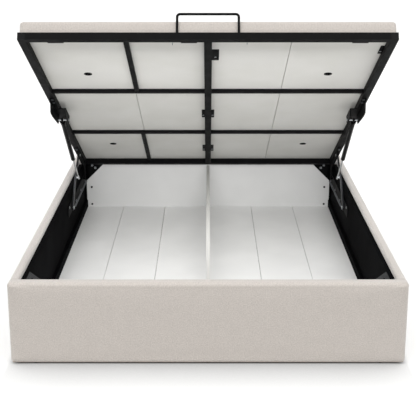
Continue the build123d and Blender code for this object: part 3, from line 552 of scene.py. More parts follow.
@dataclass(frozen=True)
class BareMetal(Finish):
    """Rolled, plated or drawn metal: its working marks run one way and break up the gloss."""

    relief: float = 0.15
    relief_mm: float = 0.05
    streak: str = "#9a9c9e"
    # Real working marks are well under 1 mm wide; they are drawn coarser, so that they show.
    streak_mm: float = 1.6
    run: float = 22.0
    contrast: float = 0.35
    gloss_ratio: tuple[float, float] = (0.8, 1.25)

    def pattern(self, tree: NodeTree) -> tuple[Node, dict[str, Any]]:
        """Draws long streaks along Y on a metal of the default IOR.

        Args:
            tree: Node tree that takes the nodes.

        Returns:
            The marks, and the shader's inputs by name.
        """
        place = add_node(tree, "ShaderNodeTexCoord").outputs["Object"]
        drawn = add_node(tree, "ShaderNodeMapping", {
            "Vector": place, "Scale": (1.0, 1 / self.run, 1.0)})
        marks = add_node(tree, "ShaderNodeTexNoise", {
            "Vector": drawn, "Scale": per_metre(self.streak_mm), "Detail": 3.0})
        tone = tint(tree, linear(self.colour), linear(self.streak), marks, (0.35, 0.75),
                    (0.0, self.contrast))
        gloss = add_node(tree, "ShaderNodeMapRange", {
            "Value": marks, "From Min": MOST_NOISE[0], "From Max": MOST_NOISE[1],
            "To Min": self.roughness * self.gloss_ratio[0],
            "To Max": self.roughness * self.gloss_ratio[1]}, interpolation_type="SMOOTHSTEP")
        return marks, {"Base Color": tone, "Roughness": gloss, "Metallic": 1.0}


@dataclass(frozen=True)
class MouldedPlastic(Finish):
    """Moulded polypropylene: spark-eroded tool grain, dull black with soft highlights."""

    specular: float = 0.1
    # The tool's grain is really about 0.1 mm; it is drawn coarser, so that it shows.
    grain_mm: float = 1.2

    def pattern(self, tree: NodeTree) -> tuple[Node, dict[str, Any]]:
        """Draws the tool's fine grain in relief and in the tone.

        Args:
            tree: Node tree that takes the nodes.

        Returns:
            The grain, and the shader's inputs by name.
        """
        place = add_node(tree, "ShaderNodeTexCoord").outputs["Object"]
        grain = add_node(tree, "ShaderNodeTexNoise", {
            "Vector": place, "Scale": per_metre(self.grain_mm), "Detail": 2.0})
        return grain, {"Base Color": shade(tree, linear(self.colour), grain, MOST_NOISE,
                                           (0.85, 1.15))}


@dataclass(frozen=True)
class CutFoam(Finish):
    """Cut polyurethane foam: open cells, so it is pale, matt and finely pitted."""

    relief: float = 0.6
    relief_mm: float = 0.5
    # Real cells are about 1 mm wide; they are drawn twice as coarse, so that they show.
    cell_mm: float = 2.0

    def pattern(self, tree: NodeTree) -> tuple[Node, dict[str, Any]]:
        """Draws open cells as pits, with painted shade deep in each.

        Args:
            tree: Node tree that takes the nodes.

        Returns:
            The cells, and the shader's inputs by name.
        """
        place = add_node(tree, "ShaderNodeTexCoord").outputs["Object"]
        cells = add_node(tree, "ShaderNodeTexVoronoi", {
            "Vector": place, "Scale": per_metre(self.cell_mm)})
        # Painted shade: darker deep in each pit.
        return cells, {"Base Color": shade(tree, linear(self.colour), cells, (0.0, 0.8),
                                           (0.8, 1.05))}


def make_finishes() -> dict[str, Material]:
    """Makes the finish of every slot.

    Returns:
        The materials by the record's slot names.
    """
    cloth = ChenilleCloth("woven_chenille_cloth", "#cbc4bd", 0.92).build()
    return {
        "rail_fabric": cloth,
        "platform_fabric": cloth,
        "foam": CutFoam("cut_pu_foam", "#ded6bd", 0.9).build(),
        "white_board": FacedBoard("white_melamine_board", "#f4f4f3", 0.42).build(),
        "lid_white_board": FacedBoard("white_lid_board", "#e4e3df", 0.5, second="#dfded9").build(),
        "black_board": FacedBoard("black_melamine_board", "#08080a", 0.75, second="#0a0a0b",
                                  specular=0.012).build(),
        "rail_board": RawChipboard("sawn_chipboard", "#b8976b", 0.85).build(),
        "black_steel": PowderCoat("black_powder_coated_steel", "#0f0f10", 0.55).build(),
        "black_cylinder": PowderCoat("black_lacquered_steel", "#08080a", 0.32, worn="#0c0c0d",
                                     specular=0.08).build(),
        "grey_steel": BareMetal("rolled_grey_steel", "#37383a", 0.45, streak="#46474a").build(),
        "chrome_rod": BareMetal("ground_chrome_plate", "#dcdedf", 0.1, streak="#c8cacc",
                                contrast=0.2).build(),
        "zinc": BareMetal("bright_zinc_plate", "#c6cacd", 0.28, streak="#a8adb2").build(),
        "black_plastic": MouldedPlastic("moulded_black_polypropylene", "#111112", 0.6).build(),
    }


# Places on the object


@dataclass(frozen=True)
class Place:
    """A right-handed frame that carries local lengths to the object."""

    origin: tuple[float, float, float]
    across: tuple[float, float, float]
    up: tuple[float, float, float]
    out: tuple[float, float, float]

    def carry(self, points: np.ndarray) -> np.ndarray:
        """Turns rows of local x, y and z into world places."""
        axes = np.array([self.across, self.up, self.out])
        return np.array(self.origin) + points @ axes


LID_ANGLE = math.radians(28.9)
LID_REAR_Y = 0.912
LID_REAR_Z = 0.320


def lid_place(x: float = 0.0, along: float = 0.0, above: float = 0.0) -> Place:
    """Frame on the open lid: local x across, local y towards the rear, local z off its top.

    Args:
        x: Place across the bed.
        along: Distance from the lid's rear lower edge towards the foot end.
        above: Height over the frame's underside.

    Returns:
        The frame with its origin at that place.
    """
    cosine, sine = math.cos(LID_ANGLE), math.sin(LID_ANGLE)
    origin = (x, LID_REAR_Y - along * cosine + above * sine,
              LID_REAR_Z + along * sine + above * cosine)
    return Place(origin, (1.0, 0.0, 0.0), (0.0, cosine, -sine), (0.0, sine, cosine))


# Upholstery


@dataclass
class PaddedPanel:
    """Cloth and wadding pulled over a board: a crowned face, rounded edges and a turned-in hem.

    The face is a grid on a rounded rectangle. Round its outline runs a band whose section is a
    quarter ellipse, edge_in wide and edge_deep deep, the wall, a small quarter circle at the
    back, and the hem. The corner is the outline's radius, the step a cell of the grid, and the
    skin the thickness of cloth and wadding. Where a seam's depth is given, the wall has a groove
    there.
    """

    name: str
    place: Place
    half_width: float
    half_height: float
    depth: float
    corner: float
    edge_in: float
    edge_deep: float
    back_radius: float
    hem: float
    crown: float
    step: float
    skin: float = 0.0
    edge_cells: int = 4
    back_cells: int = 3
    hem_cells: int = 2
    least_radius: float = 0.0005
    seam_depth: float | None = None
    groove: float = 0.0014
    groove_half_width: float = 0.0012
    seam_rows: tuple[float, ...] = (-0.0040, -0.0015, 0.0, 0.0015, 0.0040)
    seam_clearance: float = 0.006

    @property
    def inset(self) -> float:
        """Distance from the outline to the ring where face and band meet, at 45 degrees."""
        return self.edge_in * (1 - math.sin(math.pi / 4))

    def shared_outline(self) -> tuple[float, float, float]:
        """Half sizes and corner radius of the ring where face and band meet."""
        inset = self.inset
        return self.half_width - inset, self.half_height - inset, self.corner - inset

    def places_along(self, half: float, corner: float) -> np.ndarray:
        """Works out grid places from -half to half, close together in the corner squares.

        Args:
            half: Half size of the grid.
            corner: Size of a corner square.

        Returns:
            The places in rising order.
        """
        middle = half - corner
        cells = max(LEAST_CELLS, round(middle / self.step))
        inner = np.linspace(-middle, middle, 2 * cells + 1)
        outer = middle + corner * np.linspace(0, 1, self.edge_cells + 1)[1:]
        return np.concatenate([-outer[::-1], inner, outer])

    def face(self) -> tuple[np.ndarray, int, int]:
        """Works out the face.

        A corner square becomes a quarter disc by (p, q) to (p sqrt(1 - q q / 2),
        q sqrt(1 - p p / 2)). The face drops along the edge's ellipse with its distance from the
        outline, and rises by the crown times the root of (1 - x x)(1 - y y).

        Returns:
            Points, and the grid's number of rows and columns.
        """
        half_x, half_y, radius = self.shared_outline()
        x, y = np.meshgrid(self.places_along(half_x, radius), self.places_along(half_y, radius),
                           indexing="ij")
        p = np.maximum(np.abs(x) - (half_x - radius), 0) / radius
        q = np.maximum(np.abs(y) - (half_y - radius), 0) / radius
        corner = (p > 0) & (q > 0)
        round_x = np.sign(x) * (half_x - radius + radius * p * np.sqrt(1 - q * q / 2))
        round_y = np.sign(y) * (half_y - radius + radius * q * np.sqrt(1 - p * p / 2))
        x, y = np.where(corner, round_x, x), np.where(corner, round_y, y)
        over_x = np.abs(x) - (half_x - radius)
        over_y = np.abs(y) - (half_y - radius)
        beyond = np.hypot(np.maximum(over_x, 0), np.maximum(over_y, 0))
        inset = radius - beyond - np.minimum(np.maximum(over_x, over_y), 0)
        inset = np.clip(inset + self.inset, 0, self.edge_in)
        drop = self.edge_deep * (1 - np.sqrt(1 - (1 - inset / self.edge_in) ** 2))
        swell = (1 - (x / self.half_width) ** 2) * (1 - (y / self.half_height) ** 2)
        z = -self.crown - drop + self.crown * np.clip(swell, 0, 1) ** 0.5
        return np.stack([x, y, z], -1).reshape(-1, 3), x.shape[0], x.shape[1]

    def band_section(self) -> np.ndarray:
        """Works out the rings of the band below the one that it shares with the face.

        Returns:
            Each ring's offset from the outline and its depth under the face.
        """
        quarter = np.linspace(math.pi / 4, QUARTER_TURN, self.edge_cells + 1)[1:]
        edge = np.stack([-self.edge_in * (1 - np.sin(quarter)),
                         self.crown + self.edge_deep * (1 - np.cos(quarter))], -1)
        top, low = self.crown + self.edge_deep, self.depth - self.back_radius
        cells = max(LEAST_CELLS + 1, round((low - top) / self.step))
        wall = np.linspace(top, low, cells + 1)[1:]
        pulled = np.zeros_like(wall)
        if self.seam_depth is not None:
            clear = wall[np.abs(wall - self.seam_depth) > self.seam_clearance]
            wall = np.unique(np.concatenate([clear, self.seam_depth + np.array(self.seam_rows)]))
            pulled = self.groove * np.exp(-((wall - self.seam_depth) / self.groove_half_width) ** 2)
        turn = np.linspace(0, QUARTER_TURN, self.back_cells + 1)[1:]
        back = np.stack([-self.back_radius * (1 - np.cos(turn)),
                         low + self.back_radius * np.sin(turn)], -1)
        hem = -np.linspace(self.back_radius, self.hem, self.hem_cells + 1)[1:]
        hem = np.stack([hem, np.full_like(hem, self.depth)], -1)
        return np.concatenate([edge, np.stack([-pulled, wall], -1), back, hem])

    def band(self, ring: np.ndarray, section: np.ndarray) -> np.ndarray:
        """Carries the band's section round the outline.

        A ring at an offset is the rounded rectangle whose corner radius grew by that offset:
        the ring's own normals times that radius, on the straight runs shrunk to fit.

        Args:
            ring: Places of the face's rim in x and y.
            section: Offset and depth of each ring.

        Returns:
            Points of the rings.
        """
        half_x, half_y, radius = self.shared_outline()
        limit = np.array([half_x - radius, half_y - radius])
        core = np.clip(ring, -limit, limit)
        normal = ring - core
        normal /= np.maximum(np.linalg.norm(normal, axis=1, keepdims=True), TINY)
        grown = np.maximum(radius + self.inset + section[:, 0], self.least_radius)
        half = np.array([self.half_width, self.half_height]) + section[:, :1]
        fitted = (half - grown[:, None]) / limit
        flat = core[None] * fitted[:, None] + normal[None] * grown[:, None, None]
        depth = np.broadcast_to(-section[:, 1, None, None], (*flat.shape[:2], 1))
        return np.concatenate([flat, depth], -1).reshape(-1, 3)

    def build(self, material: Material) -> Object:
        """Makes the cover's skin.

        Args:
            material: Cloth of the cover.

        Returns:
            The skin, with a vertex group for what is stapled or sewn down.
        """
        face, rows, columns = self.face()
        number = np.arange(rows * columns).reshape(rows, columns)
        rim = np.concatenate([number[:-1, 0], number[-1, :-1], number[:0:-1, -1],
                              number[0, :0:-1]])
        section = self.band_section()
        rings = self.band(face[rim, :2], section)
        joined = np.concatenate([rim, len(face) + np.arange(len(rings))])
        quads = np.concatenate([
            grid_faces(rows, columns), joined[grid_faces(len(section) + 1, len(rim), closed=True)]])
        piece = make_piece(self.name, self.place.carry(np.concatenate([face, rings])), quads,
                           material)
        held = np.arange(len(section)) >= len(section) - STAPLED_ROWS
        if self.seam_depth is not None:
            held |= np.isclose(section[:, 1], self.seam_depth)
        held_points = len(face) + np.nonzero(np.repeat(held, len(rim)))[0]
        piece.vertex_groups.new(name="stapled").add(held_points.tolist(), 1.0, "REPLACE")
        return piece


@dataclass
class PaddedSideRail:
    """Cloth and wadding over a side board: one section carried along the bed.

    The section runs from the hem inside the box up, over the top, down the outside and under.
    """

    name: str
    side: int
    inner: float = 0.760
    outer: float = 0.800
    low: float = 0.004
    top: float = 0.350
    half_length: float = 1.009
    inner_hem: float = 0.300
    under_hem: float = 0.018
    inner_radius: float = 0.011
    outer_radius: float = 0.014
    low_radius: float = 0.005
    crown: float = 0.0025
    end_radius: float = 0.003
    turn_cells: int = 5
    end_cells: int = 3
    step: float = 0.016
    skin: float = 0.004

    def section(self) -> tuple[np.ndarray, np.ndarray]:
        """Works out the section from its straight runs and the quarter circles between them.

        Returns:
            Places in X and Z for the right-hand rail, and outward normals.
        """
        turns = [(self.inner + self.inner_radius, self.top - self.inner_radius,
                  self.inner_radius, math.pi),
                 (self.outer - self.outer_radius, self.top - self.outer_radius,
                  self.outer_radius, QUARTER_TURN),
                 (self.outer - self.low_radius, self.low + self.low_radius,
                  self.low_radius, 0.0)]
        runs = [((self.inner, self.inner_hem), (self.inner, turns[0][1])),
                ((turns[0][0], self.top), (turns[1][0], self.top)),
                ((self.outer, turns[1][1]), (self.outer, turns[2][1])),
                ((turns[2][0], self.low), (self.outer - self.under_hem, self.low))]
        points, normals = [], []
        for i, (start, end) in enumerate(runs):
            start, end = np.array(start), np.array(end)
            length = np.linalg.norm(end - start)
            cells = max(LEAST_CELLS, round(length / self.step))
            share = np.linspace(0, 1, cells + 1)[:, None]
            points.append(start + share * (end - start))
            way = (end - start) / length
            normals.append(np.broadcast_to([-way[1], way[0]], (cells + 1, 2)))
            if i < len(turns):
                x, z, radius, first = turns[i]
                angle = first - np.linspace(0, QUARTER_TURN, self.turn_cells + 1)[1:-1]
                unit = np.stack([np.cos(angle), np.sin(angle)], -1)
                points.append(np.array([x, z]) + radius * unit)
                normals.append(unit)
        return np.concatenate(points), np.concatenate(normals)

    def build(self, material: Material) -> Object:
        """Makes the rail's skin.

        The outside bulges by the crown times 1 - (distance from the middle height) squared, and
        the ends turn in by a quarter circle.

        Args:
            material: Cloth of the cover.

        Returns:
            The skin, with a vertex group for what is stapled down.
        """
        section, normal = self.section()
        turn = np.linspace(0, QUARTER_TURN, self.end_cells + 1)
        inset = self.end_radius * (1 - np.sin(turn))
        at = self.half_length - self.end_radius * (1 - np.cos(turn))[::-1]
        cells = round(2 * (self.half_length - self.end_radius) / self.step)
        middle = np.linspace(-self.half_length + self.end_radius,
                             self.half_length - self.end_radius, cells + 1)[1:-1]
        along = np.concatenate([-at[::-1], middle, at])
        pull = np.concatenate([inset, np.zeros(len(middle)), inset[::-1]])
        middle_height = (self.top + self.low) / 2
        share = (section[:, 1] - middle_height) / (self.top - middle_height)
        bulge = np.where(normal[:, 0] > 0.5, self.crown * (np.clip(1 - share ** 2, 0, 1) - 1), 0)
        x = section[None, :, 0] - pull[:, None] * normal[None, :, 0] + bulge[None]
        z = section[None, :, 1] - pull[:, None] * normal[None, :, 1]
        y = np.broadcast_to(along[:, None], x.shape)
        faces = grid_faces(*x.shape)
        piece = make_piece(self.name, np.stack([self.side * x, y, z], -1).reshape(-1, 3),
                           faces[:, ::-1] if self.side > 0 else faces, material)
        number = np.arange(x.size).reshape(x.shape)
        held = np.concatenate([number[:, :2].ravel(), number[:, -STAPLED_ROWS:].ravel(),
                               number[:STAPLED_ROWS].ravel(), number[-STAPLED_ROWS:].ravel()])
        piece.vertex_groups.new(name="stapled").add(np.unique(held).tolist(), 1.0, "REPLACE")
        return piece


def map_cloth(piece: Object) -> None:
    """Lays the cloth on a piece: each face takes its place in metres along the axis it faces.

    Args:
        piece: Cover that gets the cloth map.
    """
    mesh = piece.data
    corners = read_field(mesh.loops, "vertex_index", kind=np.int32)
    facing = read_field(mesh.polygons, "normal", 3)
    counts = read_field(mesh.polygons, "loop_total", kind=np.int32)
    axis = np.repeat(np.abs(facing).argmax(1), counts)
    others = np.array([[1, 2], [0, 2], [0, 1]])[axis]
    cloth = np.take_along_axis(read_field(mesh.vertices, "co", 3)[corners], others, 1)
    mesh.uv_layers.new(name="cloth").data.foreach_set("uv", cloth.ravel())


def swell_cloth(piece: Object, cap: float, pressure: float = 4.0,
                slack: float = 0.006, frames: int = 16) -> None:
    """Lets a cover settle as cloth over its wadding, then keeps the result.

    The hem stays stapled. No point sinks under its place, because the inward part of its way is
    taken off, and none leaves it by more than the cap, because the way is shortened to cap times
    tanh(way / cap).

    Args:
        piece: Cover with the vertex group of its stapled points.
        cap: Longest way of a point.
        pressure: Outward pressure of the wadding.
        slack: Share by which the cloth is longer than its board.
        frames: Steps of the simulation.
    """
    mesh = piece.data
    before = read_field(mesh.vertices, "co", 3)
    cloth = piece.modifiers.new("Cloth", "CLOTH")
    assign(cloth.settings, vertex_group_mass="stapled", use_pressure=True,
           uniform_pressure_force=pressure, shrink_min=-slack, quality=5, mass=0.4,
           bending_stiffness=3.0, tension_stiffness=25.0, compression_stiffness=25.0,
           air_damping=5.0)
    cloth.settings.effector_weights.gravity = 0.0
    cloth.collision_settings.use_collision = False
    assign(cloth.point_cache, frame_start=1, frame_end=frames)
    scene = bpy.context.scene
    for frame in range(1, frames + 1):
        scene.frame_set(frame)
    solved = piece.evaluated_get(bpy.context.evaluated_depsgraph_get())
    way = read_field(solved.data.vertices, "co", 3) - before
    piece.modifiers.remove(cloth)
    scene.frame_set(1)
    normal = read_field(mesh.vertices, "normal", 3)
    way -= normal * np.minimum((way * normal).sum(1, keepdims=True), 0)
    length = np.linalg.norm(way, axis=1, keepdims=True)
    way *= cap * np.tanh(length / cap) / np.maximum(length, TINY)
    mesh.vertices.foreach_set("co", (before + way).ravel())
    mesh.update()


@dataclass
class Upholstery:
    """The five upholstered covers, four rails of the box and the lid's platform, and its foam."""

    cloth: Material
    foam: Material
    rail_half_width: float = 0.800
    rail_low: float = 0.004
    rail_top: float = 0.350
    half_length: float = 1.059
    lid_middle: float = 0.996
    cover_top: float = 0.087
    foam_top: float = 0.078
    swell: float = 0.003
    cover_fill: float = 0.95

    def end_rail(self, name: str, direction: int) -> PaddedPanel:
        """Sizes the cover of the foot rail or the head rail.

        Args:
            name: Name of the cover.
            direction: Way that it faces along Y, -1 at the foot and 1 at the head.

        Returns:
            The cover.
        """
        middle = (self.rail_low + self.rail_top) / 2
        place = Place((0.0, direction * self.half_length, middle), (-direction, 0.0, 0.0),
                      (0.0, 0.0, 1.0), (0.0, direction, 0.0))
        return PaddedPanel(
            name, place, half_width=self.rail_half_width, half_height=self.rail_top - middle,
            depth=0.050, corner=0.014, edge_in=0.015, edge_deep=0.014, back_radius=0.005,
            hem=0.026, crown=0.0025, step=0.016, skin=0.004)

    def platform(self) -> PaddedPanel:
        """Cover of the padded platform on the lid."""
        return PaddedPanel(
            "platform_upholstery", lid_place(0.0, self.lid_middle, self.cover_top),
            half_width=0.748, half_height=0.991, depth=0.057, corner=0.020, edge_in=0.014,
            edge_deep=0.012, back_radius=0.003, hem=0.011, crown=0.003, step=0.028, skin=0.005,
            edge_cells=6, seam_depth=0.048)

    def foam_slab(self) -> PaddedPanel:
        """Foam slab under the platform's cloth."""
        return PaddedPanel(
            "platform_foam", lid_place(0.0, self.lid_middle, self.foam_top), half_width=0.735,
            half_height=0.978, depth=0.0328, corner=0.030, edge_in=0.008, edge_deep=0.006,
            back_radius=0.002, hem=0.030, crown=0.002, step=0.060)

    def finish_cover(self, cover: PaddedPanel | PaddedSideRail, body: str, node: str) -> Object:
        """Makes, settles, thickens and declares a cover.

        Args:
            cover: The cover's sizes.
            body: Body that it rides on.
            node: CAD node that it stands for.

        Returns:
            The cover.
        """
        piece = cover.build(self.cloth)
        map_cloth(piece)
        swell_cloth(piece, self.swell)
        assign(piece.modifiers.new("Subsurf", "SUBSURF"), levels=1, render_levels=1)
        assign(piece.modifiers.new("Solidify", "SOLIDIFY"), thickness=cover.skin, offset=-1.0)
        declare(piece, body, (node,))
        return piece

    def build(self) -> Object:
        """Makes the covers of the box and of the lid, and the foam.

        Returns:
            The platform's cover.
        """
        for end, direction in (("foot", -1), ("head", 1)):
            self.finish_cover(self.end_rail(f"{end}_rail_upholstery", direction), "base",
                              f"{end}_rail_cover")
        for end, side in (("left", -1), ("right", 1)):
            self.finish_cover(PaddedSideRail(f"{end}_rail_upholstery", side), "base",
                              f"{end}_rail_cover")
        platform = self.finish_cover(self.platform(), "lid", "platform_cover")
        declare(self.foam_slab().build(self.foam), "lid", ("platform_pad",))
        return platform


# Small hardware


def gather(bodies: list[tuple[np.ndarray, list[np.ndarray]]]) -> tuple[np.ndarray, list]:
    """Puts several closed bodies into one mesh.

    Args:
        bodies: Points of each body, and its faces, in one array for each number of corners.

    Returns:
        The points and faces of all.
    """
    points, faces, start = [], [], 0
    for places, blocks in bodies:
        points.append(places)
        for block in blocks:
            faces += (start + block).tolist()
        start += len(places)
    return np.concatenate(points), faces


@dataclass(frozen=True)
class WeldBead:
    """A straight weld on the lid's frame: a rippled bead that thins out at both ends.

    Places are given across the bed, along the lid from its rear edge, and above its underside.
    """

    start: tuple[float, float, float]
    end: tuple[float, float, float]
    radius: float = 0.0021
    ripple: float = 0.0034
    swell: float = 0.14
    tip: float = 0.003
    rings_per_ripple: int = 4
    least_rings: int = 12
    sides: int = 8

    def body(self) -> tuple[np.ndarray, list[np.ndarray]]:
        """Works out the bead.

        Its radius is R (1 - (2 t - 1)^6)^0.5 (1 + swell |sin(pi s / ripple)|), with s the way
        along the bead and t its share, which runs from tip to 1 - tip.

        Returns:
            Points, and the faces of the wall and of the two closed ends.
        """
        start, end = np.array(self.start), np.array(self.end)
        length = float(np.linalg.norm(end - start))
        way = (end - start) / length
        rings = max(self.least_rings, round(length / (self.ripple / self.rings_per_ripple)))
        share = np.linspace(self.tip, 1 - self.tip, rings)
        taper = np.sqrt(1 - (2 * share - 1) ** 6)
        wave = 1 + self.swell * np.abs(np.sin(math.pi * share * length / self.ripple))
        radius = self.radius * taper * wave
        helper = np.array([0.0, 0.0, 1.0]) if abs(way[2]) < 0.9 else np.array([1.0, 0.0, 0.0])
        first = np.cross(way, helper)
        first /= np.linalg.norm(first)
        second = np.cross(way, first)
        angle = np.linspace(0, FULL_TURN, self.sides, endpoint=False)
        ring = np.cos(angle)[:, None] * first + np.sin(angle)[:, None] * second
        places = start + share[:, None, None] * (end - start) + radius[:, None, None] * ring
        # The lid's length runs against the frame's local y, and the mirroring turns the faces out.
        places = places.reshape(-1, 3) * np.array([1.0, -1.0, 1.0])
        number = np.arange(len(places)).reshape(-1, self.sides)
        closed_ends = np.stack([number[0], number[-1, ::-1]])
        return lid_place().carry(places), [grid_faces(rings, self.sides, closed=True), closed_ends]


@dataclass
class FrameWelds:
    """The weld beads where the lid's tubes meet."""

    steel: Material
    half_inner: float = 0.720
    half_bar: float = 0.016
    front: float = 1.970
    rear: float = 0.030
    top: float = 0.029
    low_cross: float = 0.015
    cross: tuple[tuple[float, float], ...] = ((0.606, 0.630), (1.286, 1.310))
    short: tuple[tuple[float, float, float], ...] = ((-0.347, 0.030, 0.606),
                                                     (-0.329, 1.310, 1.970))
    half_short: float = 0.010
    low_frame: float = 0.0015

    def uprights(self, x: float, places: tuple[float, ...], low: float) -> list[WeldBead]:
        """Beads that stand at some places along the lid, from a height to just under its top."""
        return [WeldBead((x, along, low), (x, along, self.top)) for along in places]

    def beads(self) -> list[WeldBead]:
        """Lists the beads in the tubes' inner corners; the faces that lie on the linings have none.

        Returns:
            The beads.
        """
        found = []
        ends, low_cross = (self.front, self.rear), self.low_cross
        for side in (-1, 1):
            tube, bar = side * self.half_inner, side * self.half_bar
            found += self.uprights(tube, ends, self.low_frame)
            for rear, front in self.cross:
                for x in (tube, bar):
                    found.append(WeldBead((x, rear, low_cross), (x, front, low_cross)))
                    found += self.uprights(x, (rear, front), low_cross)
            found += self.uprights(bar, ends, self.low_frame)
        for middle, *places in self.short:
            left, right = middle - self.half_short, middle + self.half_short
            for along in places:
                found.append(WeldBead((left, along, low_cross), (right, along, low_cross)))
                for x in (left, right):
                    found += self.uprights(x, (along,), low_cross)
        return found

    def build(self) -> None:
        """Makes all beads as one piece of the lid."""
        points, faces = gather([bead.body() for bead in self.beads()])
        declare(make_piece("lid_frame_welds", points, faces, self.steel), "lid")


@dataclass(frozen=True)
class TurnedRing:
    """A ring turned round the gas strut.

    Its section gives places down the strut and radii, and runs down the strut on the inside and
    back up on the outside, so that the faces look out.
    """

    section: np.ndarray
    sides: int = 40

    def body(self, x: float, top: tuple[float, float],
             run: tuple[float, float]) -> tuple[np.ndarray, list[np.ndarray]]:
        """Works out the ring.

        Args:
            x: Place of the strut across the bed.
            top: Y and Z of the strut's upper pin.
            run: Unit vector down the strut, in Y and Z.

        Returns:
            Points and faces.
        """
        way = np.array([0.0, *run])
        across = np.array([1.0, 0.0, 0.0])
        angle = np.linspace(0, FULL_TURN, self.sides, endpoint=False)[:, None]
        spoke = np.cos(angle) * across + np.sin(angle) * np.cross(way, across)
        along, radius = self.section.T[:, :, None, None]
        points = (np.array([x, *top]) + along * way + radius * spoke).reshape(-1, 3)
        faces = grid_faces(len(self.section) + 1, self.sides, closed=True) % len(points)
        return points, [faces]


@dataclass
class StrutRings:
    """The wiper collar at the mouth of each gas strut, and the spring clip on its socket.

    The top is Y and Z of the strut's upper pin, the run its unit vector down in Y and Z, and the
    mouth and the clip are distances down the strut from that pin.
    """

    plastic: Material
    wire: Material
    x: float = 0.716
    top: tuple[float, float] = (0.0124069, 0.7823346)
    run: tuple[float, float] = (0.7492976, -0.6622334)
    mouth: float = 0.422
    collar: tuple[tuple[float, float], ...] = (
        (0.0001, 0.0052), (0.0034, 0.0052), (0.0044, 0.0060), (0.0048, 0.0070),
        (0.0042, 0.0084), (0.0030, 0.0098), (0.0014, 0.0104), (0.0001, 0.0104))
    clip: float = 0.6395
    wire_radius: float = 0.0008
    wire_sides: int = 10
    neck_radius: float = 0.0065
    bite: float = 0.0002

    def build(self) -> None:
        """Makes both pairs; the clip's wire has a round section that bites into the neck."""
        collar = TurnedRing(np.array(self.collar) + [self.mouth, 0.0])
        turn = np.linspace(0, FULL_TURN, self.wire_sides, endpoint=False)[::-1]
        centre = np.array([self.clip, self.neck_radius + self.wire_radius - self.bite])
        clip = TurnedRing(centre + self.wire_radius * np.stack([np.sin(turn), np.cos(turn)], -1))
        for name, ring, body, slot, finish in (
                ("strut_wiper_collars", collar, "strut_cylinders", "black_plastic", self.plastic),
                ("strut_socket_clips", clip, "strut_rods", "zinc", self.wire)):
            points, faces = gather([ring.body(side * self.x, self.top, self.run)
                                    for side in (-1, 1)])
            declare(make_piece(name, points, faces, finish), body)


# Studio


@dataclass(frozen=True)
class SoftSun:
    """A very large, soft light, with its angles in degrees.

    It stands turn away from straight above and way round from the foot end, seen from above, and
    covers its spread as the bed sees it. Its strength is the power on a surface that faces it.
    """

    name: str
    strength: float
    turn: float
    way: float
    spread: float

    def hang(self) -> None:
        """Puts the light into the scene."""
        light = bpy.data.lights.new(self.name, "SUN")
        assign(light, energy=self.strength, angle=math.radians(self.spread))
        put_in_scene(self.name, light,
                     rotation_euler=(math.radians(self.turn), 0.0, math.radians(self.way)))


